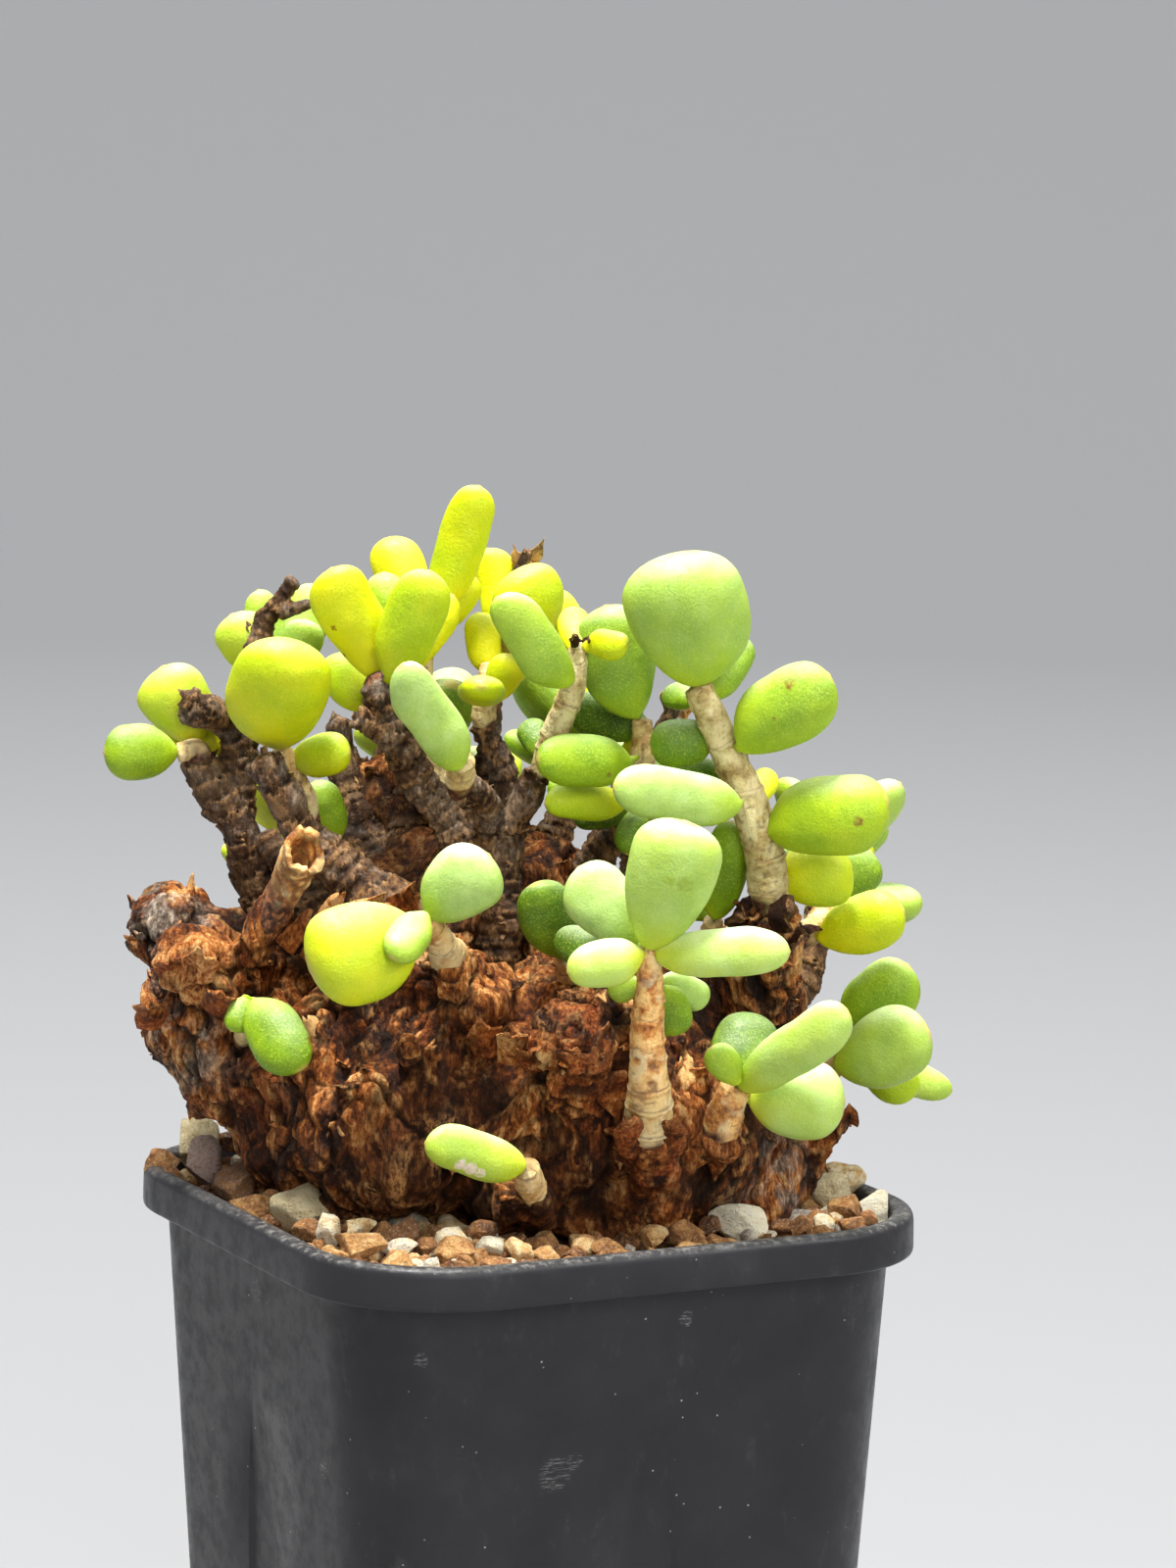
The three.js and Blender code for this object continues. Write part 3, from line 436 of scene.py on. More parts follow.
class Shader:
    """Short forms for the nodes that the materials use; textures are in millimetres."""

    def __init__(self, name):
        self.material = bpy.data.materials.new(name)
        self.material.use_nodes = True
        self.tree = self.material.node_tree
        self.surface = next(n for n in self.tree.nodes if n.type == "BSDF_PRINCIPLED")
        mm = self.node("VectorMath", self.node("TexCoord").outputs["Object"], operation="SCALE")
        self.fill(mm, Scale=1 / MM)
        self.place = mm.outputs[0]

    def node(self, kind, *inputs, **settings):
        """A node with its settings, and with its first inputs joined to sockets or set to numbers."""
        node = with_settings(self.tree.nodes.new("ShaderNode" + kind), **settings)
        for socket, value in zip(node.inputs, inputs):
            self.link(value, socket)
        return node

    def link(self, value, socket):
        if isinstance(value, bpy.types.NodeSocket):
            self.tree.links.new(value, socket)
        else:
            socket.default_value = value

    def fill(self, node, **sockets):
        """Joins or sets a node's sockets by name, with _ for a blank."""
        for name, value in sockets.items():
            self.link(value, node.inputs[name.replace("_", " ")])

    def stretched(self, *factors):
        return self.node("VectorMath", self.place, factors, operation="MULTIPLY").outputs[0]

    def noise(self, size, detail=3, roughness=0.55, place=None):
        node = self.node("TexNoise")
        self.fill(node, Vector=place or self.place, Scale=1 / size, Detail=detail, Roughness=roughness)
        return node.outputs["Fac"]

    def cells(self, size):
        node = self.node("TexVoronoi")
        self.fill(node, Vector=self.place, Scale=1 / size)
        return node.outputs["Distance"]

    def attribute(self, name):
        return self.node("Attribute", attribute_name=name).outputs["Fac"]

    def near(self, point, reach):
        """1 within an uneven patch round a point in millimetres, and 0 outside it."""
        shake = self.node("TexNoise")
        self.fill(shake, Vector=self.place, Scale=PATCH_UNEVENNESS)
        moved = self.node("VectorMath", self.place, shake.outputs["Color"], operation="ADD")
        # The noise moves places by half a millimetre on average, and the centre moves with them
        centre = tuple(c + 0.5 for c in point)
        way = self.node("VectorMath", moved.outputs[0], centre, operation="DISTANCE")
        return self.spread(way.outputs["Value"], reach * 0.55, reach, 1.0, 0.0)

    def upward(self):
        """How far the surface faces up, -1 to 1."""
        return self.node("SeparateXYZ", self.node("NewGeometry").outputs["Normal"]).outputs["Z"]

    def math(self, operation, a, b, clamp=False):
        return self.node("Math", a, b, operation=operation, use_clamp=clamp).outputs[0]

    def plus(self, a, b):
        return self.math("ADD", a, b)

    def times(self, a, b, clamp=False):
        return self.math("MULTIPLY", a, b, clamp)

    def spread(self, value, low, high, to_low=0.0, to_high=1.0):
        """A value between low and high, mapped to another range and held there."""
        node = self.node("MapRange", value, low, high, to_low, to_high, interpolation_type="SMOOTHSTEP")
        return node.outputs["Result"]

    def ramp(self, value, *stops):
        """A colour by a value; each stop has its position and its colour as it looks on screen."""
        node = self.node("ValToRGB", value)
        elements = node.color_ramp.elements
        while len(elements) < len(stops):
            elements.new(0.5)
        for element, (position, *colour) in zip(elements, stops):
            element.position = position
            element.color = srgb(*colour)
        return node.outputs["Color"]

    def mix(self, amount, a, b):
        """Colour a with an amount of colour b, which is a socket or a colour as it looks on screen."""
        node = self.node("Mix", data_type="RGBA")
        self.fill(node, Factor=amount, A=a, B=srgb(*b) if isinstance(b, tuple) else b)
        return node.outputs["Result"]

    def bump(self, height, distance, strength):
        node = self.node("Bump")
        self.fill(node, Height=height, Distance=distance * MM, Strength=strength)
        return node.outputs["Normal"]

    def set(self, **sockets):
        """Fills the surface's own sockets."""
        self.fill(self.surface, **sockets)
        return self


def leaf_material():
    """Fleshy leaf: green to yellow by tone, with a pale bloom, a pale painted highlight on the upward faces
    that grows with the bloom, and fine bright grains.
    """
    s = Shader("leaf_skin")
    drift = s.spread(s.noise(5, 3), 0.3, 0.7, -0.09, 0.09)
    place = s.attribute("place")
    near_seat = s.spread(place, 0.0, 0.4, 0.12, 0.0)
    tone = s.plus(s.plus(s.attribute("tone"), drift), near_seat)
    colour = s.ramp(tone, (0.0, 42, 70, 8), (0.22, 76, 112, 14), (0.45, 128, 162, 18),
                    (0.62, 158, 186, 12), (0.8, 186, 200, 2), (1.0, 216, 212, 0))
    grains = s.spread(s.noise(0.2, 2, 0.7), 0.5, 0.68)
    colour = s.mix(s.times(grains, 0.26), colour, (224, 236, 84))
    pits = s.spread(s.cells(0.8), 0.0, 0.18, 1.0, 0.0)
    colour = s.mix(s.times(pits, 0.25), colour, (62, 82, 14))
    patches = s.spread(s.noise(2.6, 4, 0.6), 0.3, 0.75, 0.55, 1.0)
    up = s.spread(s.upward(), 0.25, 1.0)
    film = s.times(s.spread(s.attribute("bloom"), 0.25, 1.0, 0.0, 0.7), patches)
    film = s.times(film, s.spread(place, 0.05, 0.35, 0.3, 1.0))
    colour = s.mix(film, colour, (194, 222, 140))
    # Painted highlight: the upward faces turn pale, more so where the leaf has more bloom, within the
    # bloom's patches.
    bloom = s.times(up, s.spread(s.attribute("bloom"), 0.0, 1.0, 0.2, 0.75))
    bloom = s.times(bloom, patches, clamp=True)
    colour = s.mix(bloom, colour, (230, 244, 204))
    blemish = s.times(s.spread(s.noise(1.1, 5, 0.7), 0.69, 0.75), s.spread(s.noise(7, 1), 0.5, 0.6))
    colour = s.mix(s.times(blemish, 0.6), colour, (126, 84, 30))
    nib = s.spread(place, 0.975, 1.0)
    colour = s.mix(s.times(nib, 0.6), colour, (196, 170, 96))
    height = s.plus(s.noise(0.28, 2, 0.6), s.times(s.noise(1.6, 2), 1.5))
    return s.set(
        Base_Color=colour,
        Roughness=s.spread(s.noise(0.5, 2), 0.3, 0.7, 0.38, 0.56),
        Specular_IOR_Level=0.32,
        Subsurface_Weight=0.3,
        Subsurface_Radius=(1.0, 1.1, 0.2),
        Subsurface_Scale=1.3 * MM,
        Normal=s.bump(height, 0.12, 0.6),
    )


def stem_material():
    """Young stem: papery cream to orange tan skin with dark scar lines and lengthwise streaks."""
    s = Shader("stem_skin")
    streaks = s.noise(0.6, 4, 0.62, s.stretched(1, 1, 0.3))
    pale = s.ramp(s.noise(2.2, 5, 0.66), (0.36, 132, 104, 58), (0.46, 184, 164, 102), (0.62, 228, 216, 160))
    warm = s.ramp(s.noise(2.0, 5, 0.7), (0.38, 132, 70, 24), (0.47, 206, 134, 60), (0.6, 246, 200, 124))
    colour = s.mix(s.attribute("age"), pale, warm)
    paper = s.times(s.attribute("paper"), s.spread(s.noise(2.4, 2), 0.4, 0.65, 0.1, 0.75))
    colour = s.mix(paper, colour, (236, 216, 164))
    colour = s.mix(s.spread(streaks, 0.55, 0.7, 0.0, 0.45), colour, (134, 80, 38))
    # Dark scar lines; on the broken stub the same value is painted shade in its low grooves.
    colour = s.mix(s.times(s.attribute("scar"), 0.9, clamp=True), colour, (74, 42, 20))
    bark = s.ramp(s.noise(0.8, 4, 0.68), (0.38, 36, 17, 10), (0.5, 86, 46, 27), (0.62, 156, 102, 64))
    colour = s.mix(s.attribute("foot"), colour, bark)
    return s.set(
        Base_Color=colour,
        Roughness=0.68,
        Normal=s.bump(s.plus(streaks, s.noise(0.25, 3)), 0.14, 0.8),
    )


def bark_material(name, shade_share, bump, *stops):
    """Bark by its relief: dark with painted shade in the cracks, pale along the edges of the flakes with a
    painted highlight and the colour of papery scales, fibrous between.
    """
    s = Shader(name)
    broad = s.noise(4.5, 4, 0.62)
    streak = s.noise(0.7, 5, 0.7, s.stretched(1.3, 1.3, 0.5))
    fine = s.noise(0.4, 4, 0.7)
    tone = s.plus(s.times(broad, 0.3), s.times(streak, 0.7 - shade_share))
    tone = s.plus(tone, s.times(s.attribute("shade"), shade_share))
    colour = s.ramp(tone, *stops)
    blotch = s.spread(s.noise(3, 4, 0.6), 0.42, 0.6)
    rust = s.ramp(fine, (0.36, 96, 36, 12), (0.5, 168, 78, 30), (0.64, 230, 146, 78))
    colour = s.mix(s.times(s.attribute("rust"), s.times(blotch, 0.75)), colour, rust)
    grey = s.ramp(streak, (0.35, 92, 78, 66), (0.52, 164, 146, 126), (0.66, 234, 226, 214))
    colour = s.mix(s.times(s.attribute("grey"), s.times(blotch, 0.8)), colour, grey)
    # The dark value: painted shade on the body and limbs, and the own dark brown of the dark torn scales.
    colour = s.mix(s.times(s.attribute("dark"), 0.6), colour, (40, 22, 11))
    # Pale edges: a painted highlight on the raised edges of plates, rings and flakes, and the pale colour of
    # papery scales.
    edge = s.times(s.attribute("edge"), s.spread(streak, 0.4, 0.62))
    colour = s.mix(s.times(edge, 0.7), colour, (224, 168, 104))
    # Painted shade, near black, in the cracks, slits, furrows and ring feet.
    colour = s.mix(s.times(s.attribute("hollow"), 0.86), colour, (20, 9, 3))
    lift = s.plus(s.times(fine, 0.8), s.times(streak, 1.2))
    return s.set(
        Base_Color=colour,
        Roughness=s.spread(fine, 0.3, 0.7, 0.42, 0.78),
        Specular_IOR_Level=0.2,
        Normal=s.bump(lift, bump, 1.0),
    )


def stone_material(name, soil, *stops):
    """Grit: each stone has its own tint, with specks of soil, pits and a rough broken surface."""
    s = Shader(name)
    drift = s.spread(s.noise(1.3, 5, 0.7), 0.3, 0.7, -0.16, 0.16)
    colour = s.ramp(s.plus(s.attribute("tint"), drift), *stops)
    grain = s.noise(0.32, 5, 0.75)
    colour = s.mix(s.spread(grain, 0.53, 0.66, 0.0, soil), colour, (104, 72, 40))
    colour = s.mix(s.spread(grain, 0.47, 0.34, 0.0, 0.45), colour, (244, 234, 206))
    pits = s.spread(s.cells(0.75), 0.0, 0.24, 1.0, 0.0)
    colour = s.mix(s.times(pits, 0.35), colour, (84, 60, 36))
    rough = s.plus(grain, s.times(s.noise(0.9, 5, 0.7), 1.6))
    rough = s.math("SUBTRACT", rough, s.times(pits, 0.5))
    return s.set(Base_Color=colour, Roughness=0.82, Normal=s.bump(rough, 0.45, 1.0))


def pot_material():
    """Satin near-black plastic with dust, small specks and fine scuffs."""
    s = Shader("pot_plastic")
    dust = s.noise(11, 5, 0.62)
    colour = s.ramp(dust, (0.35, 37, 37, 39), (0.6, 43, 43, 46), (0.8, 53, 53, 56))
    film = s.spread(s.noise(3.2, 5, 0.72, s.stretched(1, 1, 0.5)), 0.56, 0.78, 0.0, 0.16)
    colour = s.mix(film, colour, (116, 114, 112))
    specks = s.spread(s.cells(1.7), 0.0, 0.085, 1.0, 0.0)
    some = s.spread(s.noise(5, 2), 0.48, 0.6)
    colour = s.mix(s.times(specks, some), colour, (206, 202, 194))
    up = s.spread(s.upward(), 0.3, 0.95)
    settled = s.spread(s.noise(0.8, 5, 0.75), 0.45, 0.66, 0.05, 0.7)
    colour = s.mix(s.times(up, settled), colour, (132, 130, 126))
    fine = s.plus(s.noise(0.5, 3), s.times(dust, 2.0))
    return s.set(
        Base_Color=colour,
        Roughness=s.spread(s.noise(2.4, 5, 0.7), 0.35, 0.7, 0.32, 0.5),
        Specular_IOR_Level=0.24,
        Normal=s.bump(fine, 0.03, 0.5),
    )


LEAF_SKIN = leaf_material()
STEM_SKIN = stem_material()
BARK = bark_material(
    "caudex_bark", 0.25, 0.4, (0.41, 38, 16, 5), (0.47, 84, 40, 12), (0.52, 134, 70, 24),
    (0.57, 188, 114, 50), (0.64, 242, 194, 126))
OLD_BARK = bark_material(
    "limb_bark", 0.45, 0.25, (0.34, 34, 18, 9), (0.45, 66, 42, 25), (0.56, 104, 74, 48),
    (0.68, 150, 118, 82), (0.82, 218, 196, 160))
POT_PLASTIC = pot_material()
GRIT_STONE = stone_material(
    "grit_stone", 0.5, (0.0, 96, 58, 30), (0.25, 168, 112, 58), (0.45, 212, 162, 96),
    (0.62, 236, 208, 154), (0.8, 250, 240, 212), (1.0, 170, 156, 150))
PALE_STONE = stone_material(
    "pale_stone", 0.3, (0.0, 200, 172, 112), (0.5, 242, 224, 176), (1.0, 255, 247, 220))
BROWN_STONE = stone_material(
    "brown_stone", 0.5, (0.0, 92, 58, 34), (0.5, 168, 116, 66), (1.0, 198, 170, 156))


# Pot

MOUTH_HALF = RIM_WIDTH / 2 - RIM_LIP
BAND_LOW = POT_HEIGHT - BAND_HEIGHT
CORNER_STEPS = 20
DRILL_SIDES = 32
DRILL_ENDS = (-3, 5)
SHARP_POT_EDGE = math.radians(40)


def body_half(z):
    """Half the body's width at a height."""
    return BASE_WIDTH / 2 + (BODY_TOP_WIDTH - BASE_WIDTH) / 2 * z / POT_HEIGHT


def square_ring(half, z):
    """A rounded square ring of the pot at a height, with its sunk panels."""
    corner = max(3, RIM_CORNER - (RIM_WIDTH / 2 - half))
    straight = half - corner
    low = min(max((PANEL_TOP - z) / PANEL_TOP, 0), 1)
    panel = PANEL_TOP_HALF_WIDTH + PANEL_SPREAD * low
    depth = PANEL_DEPTH * min(1, low * 6)
    quarter = [(straight + corner * math.cos(t), straight + corner * math.sin(t))
               for t in np.linspace(0, math.pi / 2, CORNER_STEPS + 1)]
    reach = max(straight, panel + PANEL_EDGE + 0.2)
    across = [reach * 0.5 + (panel + PANEL_EDGE) * 0.5, panel + PANEL_EDGE, panel, panel / 2, 0]
    across += [-x for x in reversed(across[:-1])]
    quarter += [(x, half - depth * (abs(x) <= panel)) for x in across]
    ring = []
    for k in range(4):
        c, s = math.cos(k * math.pi / 2 + POT_TURN), math.sin(k * math.pi / 2 + POT_TURN)
        ring += [(x * c - y * s, x * s + y * c, z) for x, y in quarter]
    return ring


def square_rings(profile):
    """Rounded square rings by a profile, closed at the middle of both its ends, and their faces."""
    rings = [square_ring(half, z) for half, z in profile]
    points = [p for ring in rings for p in ring] + [(0, 0, profile[0][1]), (0, 0, profile[-1][1])]
    return np.array(points), grid_faces(len(rings), len(rings[0]))


def rounded(start, corner, end, steps=5):
    """Points of a soft corner in the pot's profile."""
    a, b, c = (np.array(v, float) for v in (start, corner, end))
    return [tuple((1 - t) ** 2 * a + 2 * t * (1 - t) * b + t * t * c) for t in np.linspace(0, 1, steps)]


def pot():
    """The pot as one moulded shell with its four drain holes."""
    rim = RIM_WIDTH / 2
    profile = [(12, 0), (body_half(0) - 3, 0)]
    profile += rounded((body_half(0) - 1.2, 0), (body_half(0), 0), (body_half(1.2), 1.2))
    profile += [(body_half(z), z) for z in (8, 20, 32, 44, 53, PANEL_TOP, 62, 68)]
    profile += rounded((body_half(BAND_LOW - 0.5), BAND_LOW - 0.5), (body_half(BAND_LOW), BAND_LOW),
                       (body_half(BAND_LOW) + 0.5, BAND_LOW + 0.05))
    profile += rounded((rim - 0.45, BAND_LOW + 0.1), (rim, BAND_LOW + 0.1), (rim, BAND_LOW + 0.6))
    profile += [(rim - 0.02, BAND_LOW + 2.2)]
    profile += rounded((rim - 0.05, POT_HEIGHT - 1.1), (rim - 0.1, POT_HEIGHT), (rim - 1.1, POT_HEIGHT), 8)
    profile += rounded((MOUTH_HALF + 0.7, POT_HEIGHT - 0.05), (MOUTH_HALF, POT_HEIGHT - 0.1),
                       (MOUTH_HALF, POT_HEIGHT - 0.9))
    profile += [(body_half(BAND_LOW - 1) - WALL, BAND_LOW - 1)]
    profile += [(body_half(z) - WALL, z) for z in (PANEL_TOP, 30, FLOOR)]
    profile += [(12, FLOOR)]
    piece = face_out(make_object("pot_shell", *square_rings(profile)))
    drills = Heap()
    for k in range(4):
        turn = POT_TURN + math.pi / 4 + k * math.pi / 2
        x, y = DRAIN_OFFSET * math.cos(turn), DRAIN_OFFSET * math.sin(turn)
        drill = [(x + DRAIN_RADIUS * math.cos(t), y + DRAIN_RADIUS * math.sin(t), z)
                 for z in DRILL_ENDS for t in circle(DRILL_SIDES)]
        drill += [(x, y, z) for z in DRILL_ENDS]
        drills.add(np.array(drill), grid_faces(len(DRILL_ENDS), DRILL_SIDES))
    cutter = face_out(drills.build("drain_drills"))
    modified(piece, "BOOLEAN", object=cutter, operation="DIFFERENCE")
    bpy.data.objects.remove(cutter)
    smooth(piece)
    piece.data.set_sharp_from_angle(angle=SHARP_POT_EDGE)
    finish_piece(piece, POT_PLASTIC, "pot", "pot")


# Stones and grit

SHARP_STONE_EDGE = math.radians(38)
STONE_FLATS = 11
SOIL = POT_HEIGHT - SOIL_BELOW_RIM

# How far a dressed stone may stand out of its solid's box
STONE_MARGIN = 0.15


def sphere_mesh(level):
    """Points and faces of an even ball."""
    work = bmesh.new()
    bmesh.ops.create_icosphere(work, subdivisions=level, radius=1)
    points = np.array([v.co[:] for v in work.verts])
    faces = [tuple(v.index for v in f.verts) for f in work.faces]
    work.free()
    return points, faces


BALL = {level: sphere_mesh(level) for level in (2, 3, 4, 5)}


def stone_points(ball, centre, radii, seed):
    """An angular stone: a ball cut by seeded flats, then broken by finer relief."""
    rng = np.random.default_rng(seed)
    p = ball.copy()
    for _ in range(STONE_FLATS):
        normal = unit(rng.normal(size=3))
        reach = rng.uniform(0.5, 0.85)
        over = np.clip(p @ normal - reach, 0, None)
        p = p - over[:, None] * normal * 0.97
    swell = 1 + 0.1 * smooth_noise(p, 0.6, seed % 9973)
    swell += 0.045 * smooth_noise(p, 0.25, seed % 9967)
    p = p * swell[:, None]
    return p * np.asarray(radii) / 0.88 + centre


# Stones that the solid model has as pieces: node, pixel and height above the rim, radii, kind, tint
STONES = [
    ("stone_cream_front", (307, 1234, 0), (3.7, 2.7, 2.6), "pale", 0.45),
    ("stone_brown_left", (245, 1210, -0.4), (3.2, 3, 2.3), "brown", 0.55),
    ("stone_cream_left", (198, 1166, 0.6), (2.8, 2.6, 3), "pale", 0.4),
    ("stone_purple_left", (206, 1187, 0.4), (2.3, 2.2, 2.9), "brown", 1.0),
    ("stone_brown_front", (413, 1260, -0.8), (2.4, 1.9, 1.9), "brown", 0.25),
    ("stone_white_front", (497, 1275, -1.2), (1.9, 1.6, 1.5), "pale", 0.85),
    ("stone_white_right", (755, 1248, -0.8), (3.2, 2.2, 1.9), "pale", 0.95),
    ("stone_cream_right", (850, 1218, -0.4), (2.6, 2.6, 2.3), "pale", 0.5),
    ("stone_white_far_right", (896, 1232, -0.7), (2.6, 2.3, 2), "pale", 0.9),
]


def inside_mouth(x, y, margin):
    """Whether a place lies inside the pot's mouth, clear of its wall by a margin."""
    c, s = math.cos(-POT_TURN), math.sin(-POT_TURN)
    u, v = abs(x * c - y * s), abs(x * s + y * c)
    half = MOUTH_HALF - 0.8 - margin
    corner = RIM_CORNER - 3
    if u > half or v > half:
        return False
    return math.hypot(max(u - half + corner, 0), max(v - half + corner, 0)) <= corner


# Smaller stones along the front: pixel and height above the rim, radii, tint
FRONT_STONES = [
    ((166, 1186, 0.2), (1.9, 1.7, 1.5), 0.3),
    ((174, 1199, -0.6), (1.6, 1.4, 1.2), 0.22),
    ((232, 1164, 0.6), (1.9, 1.7, 1.5), 0.05),
    ((262, 1178, 0.3), (2.3, 2.0, 1.6), 0.68),
    ((257, 1232, -0.7), (2.4, 1.9, 1.4), 0.32),
    ((282, 1225, -0.4), (1.5, 1.4, 1.2), 0.25),
    ((356, 1231, 0.2), (1.7, 1.5, 2.4), 0.28),
    ((334, 1255, -0.2), (1.2, 1.4, 2.2), 0.74),
    ((317, 1258, -0.8), (1.7, 1.4, 1.3), 0.24),
    ((367, 1253, -0.4), (1.8, 1.3, 1.1), 0.62),
    ((366, 1271, -0.9), (2.6, 1.9, 1.5), 0.4),
    ((408, 1273, -1.1), (1.6, 1.2, 1.0), 0.8),
    ((437, 1272, -1.2), (1.2, 1.1, 0.9), 0.2),
    ((464, 1277, -0.9), (1.9, 1.5, 1.4), 0.35),
    ((528, 1277, -0.8), (1.5, 1.3, 1.3), 0.5),
    ((494, 1257, -0.6), (1.6, 1.4, 1.1), 0.12),
    ((558, 1280, -1.4), (1.5, 1.2, 1.0), 0.4),
    ((590, 1279, -1.8), (1.3, 1.1, 0.9), 0.15),
    ((622, 1275, -1.8), (1.2, 1.1, 0.9), 0.3),
    ((666, 1264, -1.0), (1.6, 1.4, 1.3), 0.44),
    ((700, 1259, -0.9), (1.7, 1.5, 1.4), 0.26),
    ((724, 1251, -1.0), (1.4, 1.3, 1.2), 0.08),
    ((712, 1231, -0.2), (1.2, 1.3, 2.3), 0.36),
    ((800, 1252, -1.4), (1.3, 1.1, 1.0), 0.1),
    ((819, 1252, -1.1), (1.5, 1.3, 1.2), 0.22),
    ((838, 1250, -1.0), (1.3, 1.1, 1.1), 0.7),
    ((863, 1232, -0.4), (1.7, 1.6, 1.7), 0.3),
    ((866, 1250, -1.1), (1.7, 1.3, 1.1), 0.25),
    ((858, 1205, 0.4), (2.6, 2.2, 1.8), 0.6),
    ((884, 1246, -1.0), (1.3, 1.2, 1.1), 0.2),
]

# The tints of the seeded stones, and how common each is
STONE_TINTS = (0.1, 0.22, 0.3, 0.42, 0.5, 0.62, 0.72, 0.82, 0.95)
TINT_SHARES = (0.12, 0.18, 0.19, 0.17, 0.12, 0.1, 0.06, 0.04, 0.02)

# Seeded grit, largest first: usual radius, number of tries
GRIT_PLANS = [(3.0, 60), (2.4, 200), (1.9, 460), (1.4, 800), (0.9, 900)]

# Stones up to these radii count as crumbs and may lie on others; how far out grit is tried, how near
# two stones may come for their radii, and how deep a stone lies for its own
CRUMB_SIZE = 1.3
PILED_SIZE = 1.5
GRIT_REACH = 42
CROWDING = 0.8
BEDDING = 0.35


def large_stones():
    """The stones that the solid model has as pieces of their own."""
    places = []
    for seed, (name, pixel, radii, kind, tint) in enumerate(STONES):
        centre = seen_at_height(*pixel)
        low, high = (np.array(corner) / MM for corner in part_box(name))
        ball, faces = BALL[4]
        points = stone_points(ball, centre, radii, seed + 40)
        points = np.clip(points, low - STONE_MARGIN, high + STONE_MARGIN)
        piece = make_object(name + "_dressed", points, faces, tint=np.full(len(points), tint))
        shader = PALE_STONE if kind == "pale" else BROWN_STONE
        finish_piece(piece, shader, kind + "_stone", name)
        places.append((centre, max(radii[:2]) * 0.8))
    return places


def grit(wood, taken):
    """Loose grit round the caudex: listed stones in front, then seeded ones of many sizes."""
    rng = np.random.default_rng(SEED)
    heap, small = Heap(), Heap()
    bedded = list(taken)
    for seed, (pixel, radii, tint) in enumerate(FRONT_STONES):
        centre = seen_at_height(*pixel)
        ball, faces = BALL[4]
        heap.add(stone_points(ball, centre, radii, seed + 300), faces, tint=tint)
        bedded.append((centre, max(radii[:2]) * 0.85))
    for size, tries in GRIT_PLANS:
        ball, faces = BALL[3] if size > CRUMB_SIZE else BALL[2]
        for _ in range(tries):
            x, y = rng.uniform(-GRIT_REACH, GRIT_REACH, 2)
            radius = size * rng.uniform(0.75, 1.15)
            if not inside_mouth(x, y, radius * 0.75):
                continue
            ways = [math.hypot(x - q[0], y - q[1]) / (radius + other) for q, other in bedded]
            crowd = [way for way in ways if way < CROWDING]
            if crowd and (size > PILED_SIZE or min(crowd) < 0.5 or len(crowd) > 2):
                continue
            lift = BEDDING * radius if crowd else 0
            centre = np.array([x, y, SOIL - BEDDING * radius + lift + 0.5 * rng.uniform()])
            hit, normal, _, distance = wood.find_nearest(Vector(centre * MM))
            inside = (Vector(centre * MM) - hit).dot(normal) < 0
            if inside or distance < radius * 0.7 * MM:
                continue
            radii = radius * rng.uniform(0.72, 1.12, 3)
            turn = Matrix.Rotation(rng.uniform(0, 2 * math.pi), 3, Vector(unit(rng.normal(size=3))))
            points = stone_points(ball, np.zeros(3), radii, int(rng.integers(1 << 30))) @ np.array(turn)
            tint = rng.choice(STONE_TINTS, p=TINT_SHARES)
            (heap if size > CRUMB_SIZE else small).add(points + centre, faces, tint=tint)
            bedded.append((centre, radius))
    for piece in (heap.build("grit_stones"), small.build("grit_crumbs"), bed_of_soil()):
        piece.data.set_sharp_from_angle(angle=SHARP_STONE_EDGE)
        finish_piece(piece, GRIT_STONE, "grit", "grit")


def bed_of_soil():
    """The filling that the loose stones lie on, as deep as the pot."""
    heights = (FLOOR + FIT_GAP, 20, 40, PANEL_TOP, 66, SOIL - 2.2)
    profile = [(body_half(z) - WALL - FIT_GAP, z) for z in heights]
    outer = profile[-1][0]
    profile += [(outer - 0.6, SOIL - 1.4)]
    profile += [(outer * t, SOIL - 1.2) for t in (0.9, 0.8, 0.7, 0.6, 0.5, 0.4, 0.3, 0.2)]
    points, faces = square_rings(profile)
    top = points[:, 2] > SOIL - 1.6
    points[top, 2] += 0.35 * fractal(points[top], 3, 3, 5)
    tint = 0.18 + 0.1 * smooth_noise(points, 1.5, 3)
    return face_out(make_object("grit_filling", points, faces, tint=tint))


# Caudex

# Swollen lobes of the body: pixel and depth of the centre, radii
LUMPS = [
    ((400, 1115, -3), (16, 18, 15)),
    ((600, 1130, -4), (20, 19, 15)),
    ((740, 1160, -1), (9.5, 11.5, 13)),
    ((228, 1030, 2), (8.2, 10, 11)),
    ((180, 958, 2), (3.8, 4.6, 4.2)),
    ((300, 1075, 1), (10, 13, 9)),
    ((470, 1010, -12), (6.5, 7, 5.5)),
    ((470, 960, 10), (20, 13, 13)),
    ((700, 1030, 5), (11, 12, 8)),
    ((600, 1100, -17), (7.5, 7, 8)),
    ((405, 880, 14), (10, 6, 11)),
]

